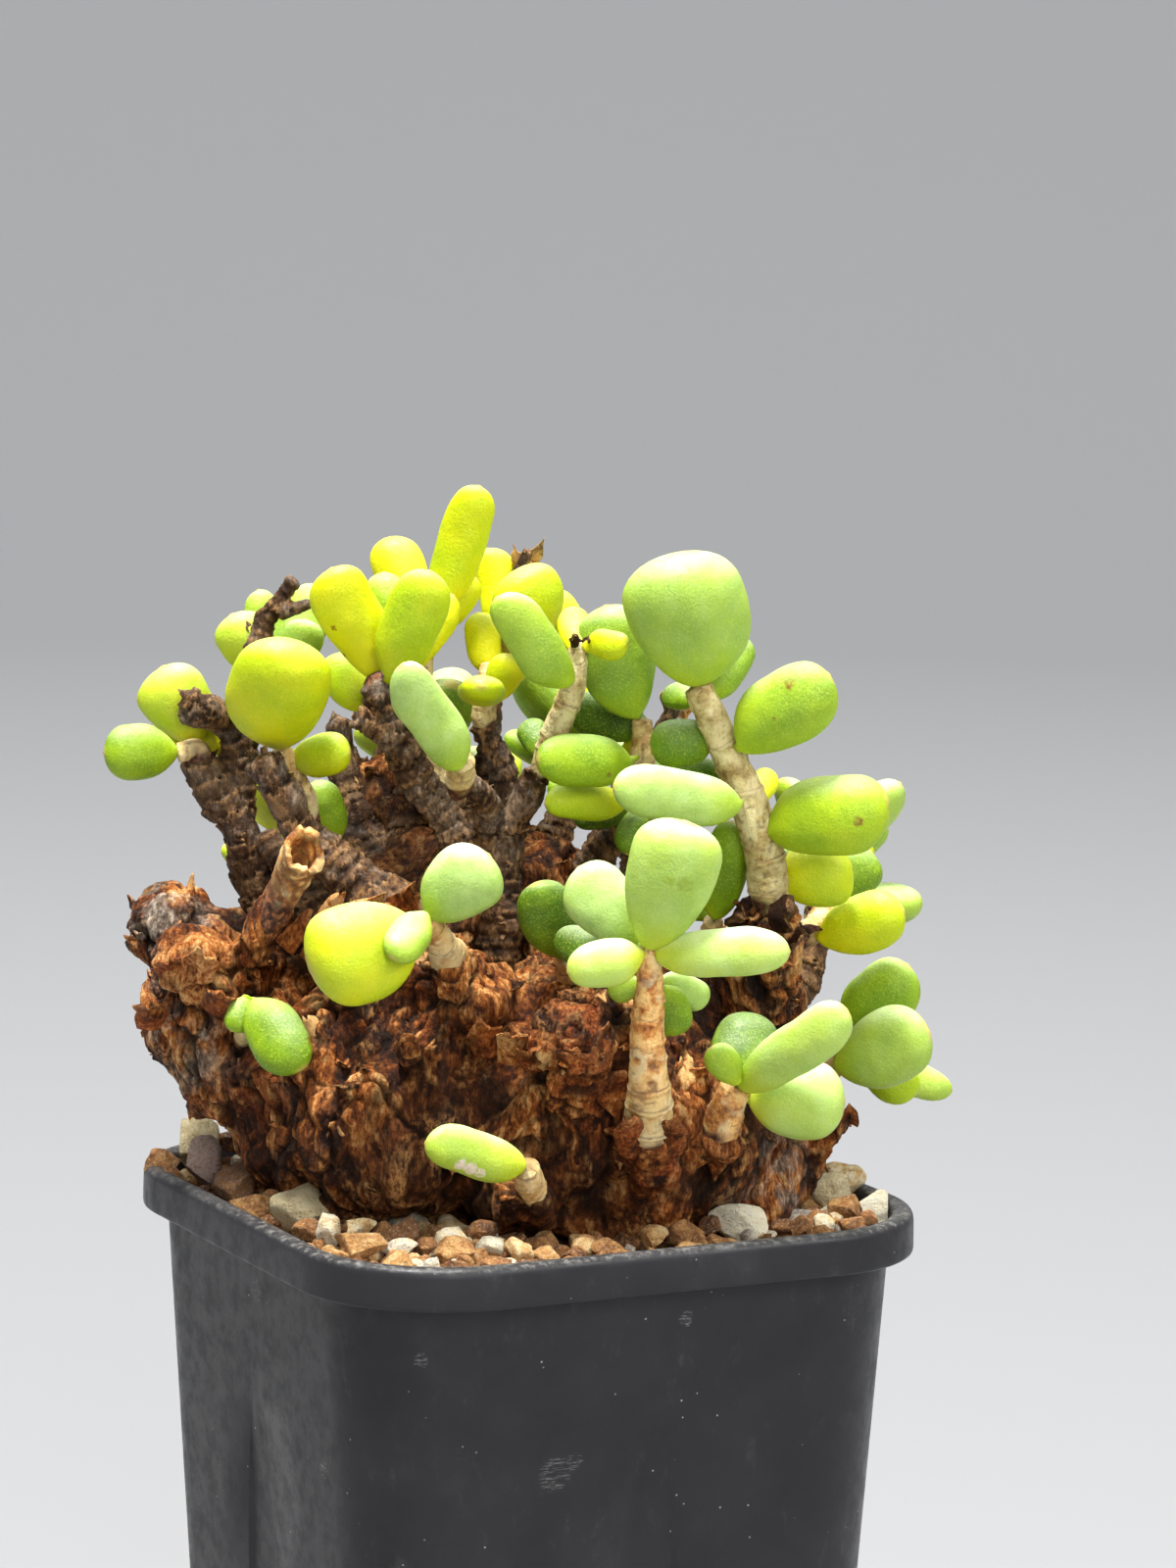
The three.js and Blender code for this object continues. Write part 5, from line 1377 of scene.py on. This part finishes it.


# Shoots: node, stem radii, stem route, leaves. A leaf has its seat, its tip, its width, its widest place,
# its tone from 0 for deep green to 1 for yellow, and its bloom from 0 to 1, which also sets how strong
# the painted highlight on its top is. Routes, seats and tips are pixels with a depth.
SHOOTS = [
    ("shoot_front_centre", [2.5, 2, 1.75, 1.5, 0.9],
     [(662, 1165, -23), (662, 1100, -26), (661, 1050, -27), (663, 1000, -28), (663, 966, -28)],
     [((662, 968, -29), (700, 838, -30), 9.3, 0.74, 0.55, 0.75),
      ((652, 964, -26), (590, 885, -23), 6.9, 0.62, 0.42, 0.9),
      ((655, 973, -29), (579, 992, -31), 4.9, 0.5, 0.72, 0.8),
      ((670, 975, -29), (806, 971, -30), 5, 0.54, 0.7, 1),
      ((655, 985, -25), (568, 955, -17), 4.6, 0.6, 0.2, 0.3),
      ((657, 1006, -27), (621, 1010, -24), 2.6, 0.6, 0.55, 0.5),
      ((670, 1008, -26), (698, 1052, -23), 4.2, 0.6, 0.35, 0.2),
      ((672, 1002, -25), (722, 1018, -20), 3.6, 0.6, 0.4, 0.8)]),
    ("shoot_front_right", [2.2, 1.9, 1.6],
     [(733, 1165, -17), (742, 1130, -19), (750, 1108, -20)],
     [((757, 1110, -21), (864, 1030, -26), 5.4, 0.68, 0.55, 0.75),
      ((764, 1120, -19), (862, 1126, -20), 8.2, 0.6, 0.66, 0.85),
      ((752, 1104, -22), (727, 1068, -24), 3.7, 0.55, 0.5, 0.45),
      ((755, 1106, -17), (768, 1035, -12), 7, 0.6, 0.25, 0.15)]),
    ("shoot_front_left", [1.9, 1.4, 1.2],
     [(462, 985, -14), (446, 955, -20), (434, 938, -23)],
     [((425, 945, -25), (316, 990, -29), 10.6, 0.62, 0.8, 0.35),
      ((437, 936, -23), (499, 872, -23), 7.6, 0.62, 0.42, 0.85),
      ((434, 934, -26), (400, 978, -31), 4.4, 0.5, 0.55, 0.5)]),
    ("shoot_low_front", [1.5, 1.4],
     [(547, 1225, -23), (537, 1192, -26)],
     [((535, 1190, -27), (434, 1166, -30), 4.9, 0.52, 0.62, 0.55)]),
    ("shoot_low_left", [1.4, 1],
     [(248, 1062, -6), (258, 1026, -13)],
     [((258, 1022, -15), (309, 1091, -20), 6.2, 0.52, 0.36, 0.15),
      ((254, 1018, -14), (236, 1052, -16), 3, 0.6, 0.4, 0.05)]),
    ("shoot_right", [2.2, 2, 1.9, 1.7, 1.5],
     [(788, 935, -8), (782, 885, -9), (768, 830, -10), (740, 762, -10), (712, 702, -11)],
     [((712, 700, -11), (699, 563, -13), 13, 0.62, 0.5, 0.6),
      ((755, 764, -12), (846, 688, -14), 8.2, 0.57, 0.5, 0.4),
      ((785, 850, -11), (906, 815, -14), 8.6, 0.54, 0.6, 0.35),
      ((755, 822, -13), (626, 802, -18), 5.7, 0.52, 0.5, 1),
      ((728, 746, -9), (665, 768, -10), 5.2, 0.54, 0.3, 0.15),
      ((740, 792, -7), (694, 784, -4), 3.4, 0.6, 0.2, 0.2),
      ((716, 712, -8), (762, 652, -4), 5, 0.6, 0.38, 0.4),
      ((708, 716, -7), (678, 708, -1), 3, 0.6, 0.35, 0.3),
      ((768, 822, -6), (786, 786, -2), 3, 0.6, 0.9, 0.1),
      ((796, 905, -8), (868, 880, -7), 7.2, 0.6, 0.78, 0.25)]),
    ("shoot_centre", [1.5, 1.4, 1.2, 0.9],
     [(550, 790, -4), (566, 750, -5), (584, 702, -7), (592, 655, -7)],
     [((582, 698, -9), (506, 610, -12), 5.3, 0.6, 0.52, 0.5),
      ((598, 660, -8), (641, 655, -11), 3.3, 0.5, 0.8, 0.2),
      ((556, 775, -3), (538, 735, 0), 3.4, 0.6, 0.25, 0.2),
      ((592, 668, -5), (582, 620, 0), 3.6, 0.6, 0.92, 0.1)]),
    ("shoot_inner_left", [1.6, 1.4],
     [(468, 802, -8), (471, 776, -11)],
     [((468, 784, -12), (411, 677, -16), 5.4, 0.5, 0.45, 1)]),
    ("shoot_inner_right", [1.6, 1.5, 1.3, 1],
     [(640, 850, 2), (650, 805, -1), (656, 770, -2), (655, 735, -2)],
     [((648, 732, -3), (618, 618, -3), 8.4, 0.6, 0.45, 0.45),
      ((660, 742, 0), (582, 722, 3), 5, 0.6, 0.15, 0.1),
      ((642, 778, -6), (548, 774, -11), 5.7, 0.52, 0.45, 0.1),
      ((654, 786, 0), (650, 748, 2), 3.4, 0.6, 0.92, 0.1),
      ((638, 818, -3), (556, 820, -7), 4.1, 0.52, 0.72, 0.1),
      ((644, 822, -1), (586, 838, 0), 3.4, 0.6, 0.15, 0.1),
      ((652, 822, -3), (640, 872, -6), 3.2, 0.6, 0.3, 0.2),
      ((660, 800, 2), (700, 770, 6), 5, 0.6, 0.2, 0.2)]),
    ("shoot_yellow_top", [1.9, 1.5, 1.2],
     [(388, 705, -2), (392, 690, 0), (398, 672, 2)],
     [((388, 692, -1), (338, 580, -3), 6.8, 0.7, 0.95, 0.15),
      ((398, 692, -4), (440, 583, -6), 6.5, 0.62, 0.72, 0.3),
      ((396, 684, 4), (392, 584, 7), 5, 0.6, 0.5, 0.3),
      ((380, 722, 2), (330, 674, 4), 4.8, 0.6, 0.7, 0.2),
      ((404, 690, 3), (462, 607, 4), 4.6, 0.6, 0.9, 0.1)]),
    ("shoot_left_leaves", [1.3, 1.2, 0.9],
     [(318, 836, 2), (302, 796, 0.5), (286, 764, -1)],
     [((284, 762, -2), (286, 654, -8), 11, 0.56, 0.8, 0.25),
      ((298, 774, 0), (357, 767, -3), 4.8, 0.56, 0.75, 0.15)]),
    ("shoot_far_left", [1.4, 1.2, 1],
     [(206, 778, 6), (200, 766, 6), (182, 768, 5.5)],
     [((180, 767, 5), (106, 768, 3), 6.2, 0.56, 0.4, 0.3),
      ((203, 757, 8), (166, 680, 8), 7.6, 0.6, 0.8, 0.45),
      ((206, 762, 9), (236, 740, 12), 5, 0.6, 0.9, 0.1),
      ((198, 762, 9), (156, 742, 11), 4, 0.6, 0.85, 0.1)]),
    ("shoot_top", [1.8, 1.5, 1.2, 1],
     [(462, 850, 6), (436, 760, 9), (430, 690, 9), (436, 630, 9)],
     [((446, 625, 6), (489, 496, 5), 5.3, 0.68, 0.82, 0.25),
      ((428, 630, 12), (392, 550, 16), 5.8, 0.6, 1, 0.1),
      ((444, 640, 10), (484, 588, 10), 4.2, 0.6, 0.95, 0.1),
      ((430, 650, 12), (352, 612, 16), 5, 0.6, 0.85, 0.3),
      ((420, 680, 11), (350, 650, 14), 6, 0.6, 0.75, 0.3)]),
    ("shoot_middle", [1.4, 1.2, 1],
     [(493, 745, 5), (496, 712, 4), (500, 680, 6)],
     [((494, 708, 2), (491, 700, -6), 5.2, 0.55, 0.76, 0.15),
      ((504, 716, 4), (522, 668, 3), 3.8, 0.6, 0.95, 0.1),
      ((500, 688, 7), (488, 625, 9), 4, 0.6, 0.95, 0.1),
      ((500, 690, 9), (536, 672, 11), 4.4, 0.6, 0.9, 0.1)]),
    ("shoot_upper_middle", [1.2, 1, 0.9],
     [(511, 660, 12), (530, 648, 8), (560, 640, 5)],
     [((560, 642, 3), (522, 584, 2), 7.6, 0.6, 0.8, 0.2),
      ((545, 640, 9), (590, 618, 8), 5.4, 0.6, 0.9, 0.1),
      ((524, 650, 11), (497, 560, 14), 4.6, 0.6, 0.95, 0.1)]),
    ("shoot_left_back", [1.1, 1, 0.9],
     [(252, 705, 9), (272, 694, 11), (300, 690, 12)],
     [((270, 690, 10), (236, 627, 10), 6.2, 0.6, 0.75, 0.5),
      ((284, 684, 13), (264, 602, 15), 4, 0.6, 0.5, 0.5),
      ((302, 684, 12), (312, 632, 12), 4.4, 0.6, 0.5, 0.6),
      ((300, 690, 14), (318, 596, 19), 5, 0.6, 0.5, 0.5)]),
    ("shoot_shaded", [1.3, 1],
     [(350, 900, 5), (342, 862, 6)],
     [((342, 860, 6), (322, 797, 5), 4.7, 0.6, 0.42, 0.35)]),
    ("shoot_under_leaf", [1.3, 1],
     [(582, 1000, -8), (578, 978, -12)],
     [((577, 976, -12), (546, 901, -14), 6, 0.6, 0.25, 0.25)]),
    ("shoot_right_shade", [1.3, 1],
     [(722, 985, 0), (728, 940, -4)],
     [((730, 936, -5), (748, 838, -7), 5, 0.6, 0.42, 0.1),
      ((724, 936, -2), (690, 900, 2), 4.5, 0.6, 0.3, 0.1)]),
    ("shoot_right_side", [1.5, 1.2, 1],
     [(812, 960, -3), (832, 946, -2), (842, 920, 2)],
     [((836, 958, -4), (922, 928, -6), 6.5, 0.6, 0.85, 0.05),
      ((846, 918, 3), (888, 868, 4), 6, 0.6, 0.36, 0.3),
      ((842, 914, 5), (880, 908, 11), 5, 0.6, 0.35, 0.5)]),
    ("shoot_low_right", [1.8, 1.5, 1.2],
     [(828, 1105, -2), (850, 1084, -2), (868, 1068, 0)],
     [((852, 1088, -5), (948, 1052, -8), 8.2, 0.58, 0.55, 0.65),
      ((864, 1058, -1), (926, 984, -2), 6.8, 0.6, 0.45, 0.35),
      ((870, 1074, 1), (935, 1116, 2), 5, 0.6, 0.72, 0.1),
      ((862, 1080, 3), (971, 1114, 7), 4, 0.56, 0.6, 0.6)]),
]

# How warm the tan of each young stem is, from 0 for cream to 1 for orange; the others are in between
STEM_WARMTH = {
    "shoot_front_centre": 1.0,
    "shoot_front_right": 0.9,
    "shoot_low_front": 0.45,
    "shoot_front_left": 0.6,
    "shoot_right": 0.1,
    "shoot_centre": 0.05,
    "shoot_inner_left": 0.2,
}
USUAL_WARMTH = 0.4

# Shoots on the far side: node, tip of the old limb and end of the shoot above the rim, number of leaves
FAR_SHOOTS = [
    ("shoot_far_01", (-24, 20, 27), (-25, 22, 34), 5),
    ("shoot_far_02", (-6, 28, 29), (-7, 29, 36), 5),
    ("shoot_far_03", (11, 26, 35), (10, 27, 41), 5),
    ("shoot_far_04", (32, 16, 27), (33, 17, 34), 6),
    ("shoot_far_05", (5, 17, 41), (5, 18, 47), 6),
    ("shoot_far_06", (-12, 16, 41), (-12, 17, 47), 5),
]

FAR_STEM_RADII = [1.5, 1.3, 1]

LEAF_SIDES = 32
LEAF_RINGS = 26

# Radius of a leaf's short stalk, length of the nib on its tip, and the mean tone of a yellow shoot
PETIOLE = 0.6
NIB = 0.12
YELLOW_FROM = 0.65


def leaf(heap, root, seat, tip, width, widest, facing, tone, bloom, seed):
    """A fat leaf from its seat to its tip, rooted in the stem, with its broad face to a viewer."""
    rng = np.random.default_rng(seed)
    length = np.linalg.norm(tip - seat)
    axis = (tip - seat) / length
    across = np.cross(facing, axis)
    if np.linalg.norm(across) < 0.3:
        across = np.cross(UP, axis)
    across = unit(across)
    through = np.cross(across, axis)
    blunt = np.clip((EGG_WIDTH - width / length) / (EGG_WIDTH - SLENDER_WIDTH), 0, 1)
    blunt = blunt * smoothstep(3, 4.8, width)
    along = (1 - np.cos(math.pi * np.arange(1, LEAF_RINGS) / LEAF_RINGS)) / 2
    rise = np.clip(1 - np.clip((widest - along) / widest, 0, 1) ** (2.1 + 1.4 * blunt), 0, 1) ** 0.6
    fall = np.clip(1 - np.clip((along - widest) / (1 - widest), 0, 1) ** (2.6 + 0.6 * blunt), 0, 1) ** 0.5
    reach = np.where(along < widest, rise, fall) * width / 2
    neck = PETIOLE * (1 - smoothstep(0.0, 0.14, along))
    half = np.sqrt(reach ** 2 + neck ** 2)
    thick = np.sqrt((reach * LEAF_THICKNESS) ** 2 + neck ** 2)
    turns = circle(LEAF_SIDES)
    lean = 0.06 * rng.uniform(-1, 1)
    arch = rng.uniform(-0.03, 0.05) * length * (4 * along * (1 - along))
    sway = rng.uniform(-0.03, 0.03) * length * np.sin(2 * math.pi * along)
    centre = seat + along[:, None] * length * axis + arch[:, None] * through + sway[:, None] * across
    wide = half[:, None] * np.cos(turns) * (1 + lean * np.cos(turns))
    deep = thick[:, None] * np.sin(turns)
    rings = centre[:, None] + wide[..., None] * across + deep[..., None] * through
    points = rings.reshape(-1, 3)
    out = points - np.repeat(centre, LEAF_SIDES, axis=0)
    out /= np.linalg.norm(out, axis=1)[:, None] + 1e-9
    uneven = 0.17 * smooth_noise(points, 3.4, seed % 97) + 0.05 * smooth_noise(points, 1.4, seed % 89)
    points = points + out * (uneven * np.repeat(np.clip(half * 2 / width, 0, 1), LEAF_SIDES))[:, None]
    points = np.concatenate([points, [root, seat + axis * length + axis * NIB]])
    place = np.concatenate([np.repeat(along, LEAF_SIDES), [0, 1]])
    heap.add(points, grid_faces(LEAF_RINGS - 1, LEAF_SIDES), tone=tone, bloom=bloom, place=place)


def stem(heap, points, radii, warmth, seed):
    """A young stem with papery skin and unevenly spaced scars where leaves have dropped."""
    rng = np.random.default_rng(seed)
    inward = unit(points[0] - points[1])
    points = [points[0] + inward * 0.9 * radii[0], *points]
    radii = [0.55 * radii[0], *radii]
    places, tangents, run = route(points, STEM_STEP)
    turns = circle(STEM_SIDES)
    radius = widths_along(radii, run)
    swell = np.zeros((len(run), len(turns)))
    scar = np.zeros_like(swell)
    at = rng.uniform(0.3, 1.2)
    while at < run[-1]:
        side = rng.uniform(0, 2 * math.pi)
        tilt = rng.uniform(-0.35, 0.35)
        strength = rng.uniform(0.4, 1)
        d = run[:, None] - at - tilt * radius[:, None] * np.cos(turns - side) + 0.06 * np.sin(3 * turns + at)
        part = np.clip(0.62 + 0.6 * np.cos(turns - side), 0, 1) * strength
        swell += part * 0.13 * np.exp(-((d + 0.28) / 0.24) ** 2) * radius[:, None]
        scar = np.maximum(scar, part * np.exp(-(d / 0.085) ** 2))
        at += rng.uniform(0.9, 3.1) * (1.7 - 0.7 * warmth)
    rings = places[:, None] + radius[:, None, None] * spokes_along(tangents, turns)
    body = rings.reshape(-1, 3)
    out = unit_rows((rings - places[:, None]).reshape(-1, 3))
    paper = smoothstep(0.0, 0.06, fractal(lengthwise(body, 0.7), 2.0, 3, seed % 83))
    crack = smoothstep(0.93, 1.0, 1 - np.abs(smooth_noise(lengthwise(body, 0.4), 1.2, seed % 71)))
    push = swell.ravel() + 0.09 * paper + 0.12 * smooth_noise(body, 2.2, 5)
    push = push + 0.03 * smooth_noise(body, 0.6, 6) - 0.07 * crack
    body = body + out * push[:, None]
    ends = [places[0] - tangents[0] * SUNK_END, places[-1] + tangents[-1] * DOME * radius[-1]]
    age = warmth * np.repeat(1 - 0.65 * smoothstep(0.6, 0.2, run / run[-1]), len(turns))
    foot = np.repeat(run, len(turns)) / radii[1] + 0.8 * smooth_noise(body, 1.6, seed % 67)
    heap.add(
        np.concatenate([body, ends]), grid_faces(len(places), len(turns)),
        scar=np.append(np.maximum(scar.ravel(), 0.7 * crack), [0, 0.6]),
        paper=np.append(paper, [0, 0]),
        age=np.append(age, [0, 0]),
        foot=np.append(1 - smoothstep(1.2, 1.9, foot), [1, 0]),
    )


def far_leaves(start, end, count, draw):
    """Leaves set round the end of a stem, each a golden turn on from the last."""
    ahead = unit(end - start)
    side = unit(np.cross([0, 1, 0], ahead))
    over = np.cross(ahead, side)
    leaves = []
    for i in range(count):
        turn = i * GOLDEN_TURN + 0.5 * draw()
        spread = side * math.cos(turn) + over * math.sin(turn)
        lift = 0.1 + 1.4 * i / (count - 1)
        out = unit(spread + ahead * lift)
        seat = start + (end - start) * (0.3 + 0.7 * i / (count - 1)) + spread * 0.8
        width = 5 + 3 * draw()
        leaves.append((seat, seat + out * (7.5 + 3.5 * draw()), width, 0.6, ahead))
    return leaves


def shoot(name, points, radii, leaves, seed):
    """A leafy shoot as two pieces: its stem and its leaves."""
    wood, green = Heap(), Heap()
    stem(wood, points, radii, STEM_WARMTH.get(name, USUAL_WARMTH), seed)
    for i, entry in enumerate(leaves):
        leaf(green, nearest(points, entry[0]), *entry, seed + i)
    yellow = np.mean([tone for *_, tone, _ in leaves]) > YELLOW_FROM
    finish_piece(face_out(wood.build(name + "_stem")), STEM_SKIN, "bark", name)
    finish_piece(face_out(green.build(name + "_leaves")), LEAF_SKIN,
                 "yellow_leaf" if yellow else "green_leaf", name)


def shoots():
    """The shoots that the photograph shows, and those on the far side."""
    for k, (name, radii, points, leaves) in enumerate(SHOOTS):
        entries = [(seen(*seat), seen(*tip), width, widest, TO_VIEWER, tone, bloom)
                   for seat, tip, width, widest, tone, bloom in leaves]
        shoot(name, [seen(*point) for point in points], radii, entries, SEED + 17 * k)
    draw = random_stream(SEED + 1)
    tints = random_stream(SEED + 2)
    for k, (name, limb_tip, stem_tip, count) in enumerate(FAR_SHOOTS):
        start, end = above(*limb_tip), above(*stem_tip)
        entries = [(*entry, 0.35 + 0.5 * tints(), 0.2 + 0.5 * tints())
                   for entry in far_leaves(start, end, count, draw)]
        points = [start + (start - end) * 0.3, start, end]
        shoot(name, points, FAR_STEM_RADII, entries, SEED + 500 + 17 * k)


# Brown scabs, pits and bleached scars on the leaves, and pale scuffs on the pot: pixel, radius
BLEMISHES = [((806, 698), 0.8), ((790, 735), 0.35), ((876, 838), 0.7), ((340, 641), 0.4),
             ((351, 668), 0.6), ((316, 1062), 0.5), ((622, 790), 0.4), ((908, 640), 0.4)]
GREEN_PITS = [((683, 898), 0.8), ((699, 903), 1.1)]
PALE_SCARS = [((470, 1188), 0.8), ((480, 1193), 0.9), ((490, 1197), 0.6)]
SCUFFS = [((566, 1504), 2.2), ((585, 1492), 1.2), ((262, 1318), 1.6), ((700, 1345), 1.0),
          ((430, 1388), 0.9), ((330, 1500), 1.4)]


def marks(s, places, grain, colour):
    """Adds marks to a material, each where a ray through its pixel meets the object."""
    graph = bpy.context.evaluated_depsgraph_get()
    amount = 0.0
    for pixel, reach in places:
        way = Vector(unit(seen(*pixel, 0) - EYE))
        place = bpy.context.scene.ray_cast(graph, Vector(EYE * MM), way)[1]
        amount = s.math("MAXIMUM", s.near(place / MM, reach), amount)
    base = s.surface.inputs["Base Color"].links[0].from_socket
    s.set(Base_Color=s.mix(s.times(amount, grain), base, colour))


# Stage, lights and camera, in metres and watts

CLIP = (0.01, 20)
FLOOR_RADII = (0.4, 0.8, 1.2)
STAGE_CURVE = 0.7
STAGE_HEIGHT = 3.0
STAGE_SIDES = 128
AIM = (0, 0, 0.1)
WHITE = (1.0, 1.0, 1.0)

# Name, place, aim, size across, power, colour
LIGHTS = [
    ("key_above", (-0.14, -0.2, 1.14), AIM, 0.28, 25.5, (1.0, 0.98, 0.95)),
    ("fill_front", (0.25, -0.95, 0.5), AIM, 0.6, 5.2, (0.98, 0.99, 1.0)),
    ("side_right", (0.78, -0.38, 0.62), AIM, 0.4, 4.0, (1.0, 0.99, 0.96)),
    ("backdrop_light", (0, 0.7, 1.7), (0, 1.8, 0.25), 1.6, 32.0, WHITE),
    ("wall_left", (-0.7, 0, 1.7), (-1.8, 0, 0.25), 1.6, 7.0, WHITE),
    ("wall_right", (0.7, 0, 1.7), (1.8, 0, 0.25), 1.6, 7.0, WHITE),
    ("wall_front", (0, -0.7, 1.7), (0, -1.8, 0.25), 1.6, 7.0, WHITE),
]
WORLD_COLOUR = (0.9, 0.9, 0.92, 1)
WORLD_STRENGTH = 0.18


def camera():
    """The photograph's camera."""
    data = with_settings(
        bpy.data.cameras.new("photo_camera"), sensor_fit="AUTO", sensor_width=SENSOR,
        lens=FOCAL_PIXELS / max(FRAME_PIXELS) * SENSOR, clip_start=CLIP[0], clip_end=CLIP[1])
    piece = linked("photo_camera", data)
    turn = Matrix(AXES.T.tolist()).to_4x4()
    piece.matrix_world = Matrix.Translation(Vector(EYE * MM)) @ turn
    bpy.context.scene.camera = piece


def stage():
    """A pale round floor that curves up into a wall all round."""
    edge = FLOOR_RADII[-1]
    profile = [(r, 0.0) for r in FLOOR_RADII]
    profile += [(edge + STAGE_CURVE * math.sin(t), STAGE_CURVE - STAGE_CURVE * math.cos(t))
                for t in np.linspace(0.1, math.pi / 2, 14)]
    profile += [(edge + STAGE_CURVE, STAGE_HEIGHT)]
    points = [(r * math.cos(t), r * math.sin(t), z) for r, z in profile[::-1] for t in circle(STAGE_SIDES)]
    points.append((0, 0, 0))
    faces = grid_faces(len(profile), STAGE_SIDES, closed=False)
    inner = (len(profile) - 1) * STAGE_SIDES
    faces += [(len(points) - 1, inner + s, inner + (s + 1) % STAGE_SIDES) for s in range(STAGE_SIDES)]
    piece = make_object("floor", np.array(points) / MM, faces)
    paper = Shader("floor_paper").set(Base_Color=srgb(136, 137, 139), Roughness=0.9)
    piece.data.materials.append(paper.material)


def light(name, place, aim, size, power, colour):
    """A round lamp that faces its aim."""
    lamp = bpy.data.lights.new(name, "AREA")
    piece = linked(name, with_settings(lamp, shape="DISK", size=size, energy=power, color=colour))
    piece.location = place
    piece.rotation_euler = (Vector(aim) - Vector(place)).to_track_quat("-Z", "Y").to_euler()


def lights():
    """Every lamp and the faint light of the room."""
    for lamp in LIGHTS:
        light(*lamp)
    world = bpy.data.worlds.new("studio")
    world.use_nodes = True
    background = world.node_tree.nodes["Background"]
    background.inputs["Color"].default_value = WORLD_COLOUR
    background.inputs["Strength"].default_value = WORLD_STRENGTH
    bpy.context.scene.world = world
    bpy.context.scene.view_settings.view_transform = "Standard"


camera()
stage()
lights()
pot()
wood = caudex_body()
flakes("caudex_flakes", wood, BARK, BODY_FLAKES, BODY_FLAKE_LENGTH, SEED)
limbs = caudex_limbs()
flakes("limb_flakes", limbs, OLD_BARK, LIMB_FLAKES, LIMB_FLAKE_LENGTH, SEED + 3)
torn_scales()
broken_stub()
bpy.context.view_layer.update()
grit(BVHTree.FromObject(wood, bpy.context.evaluated_depsgraph_get()), large_stones())
shoots()
bpy.context.view_layer.update()
grain = LEAF_SKIN.spread(LEAF_SKIN.noise(0.5, 4, 0.7), 0.36, 0.56, 0.2, 0.85)
marks(LEAF_SKIN, BLEMISHES, grain, (124, 76, 26))
marks(LEAF_SKIN, GREEN_PITS, grain, (144, 168, 56))
marks(LEAF_SKIN, PALE_SCARS, grain, (240, 216, 208))
scratches = POT_PLASTIC.noise(0.35, 5, 0.8, POT_PLASTIC.stretched(0.25, 0.25, 2))
marks(POT_PLASTIC, SCUFFS, POT_PLASTIC.spread(scratches, 0.5, 0.62, 0.0, 0.5), (150, 148, 146))
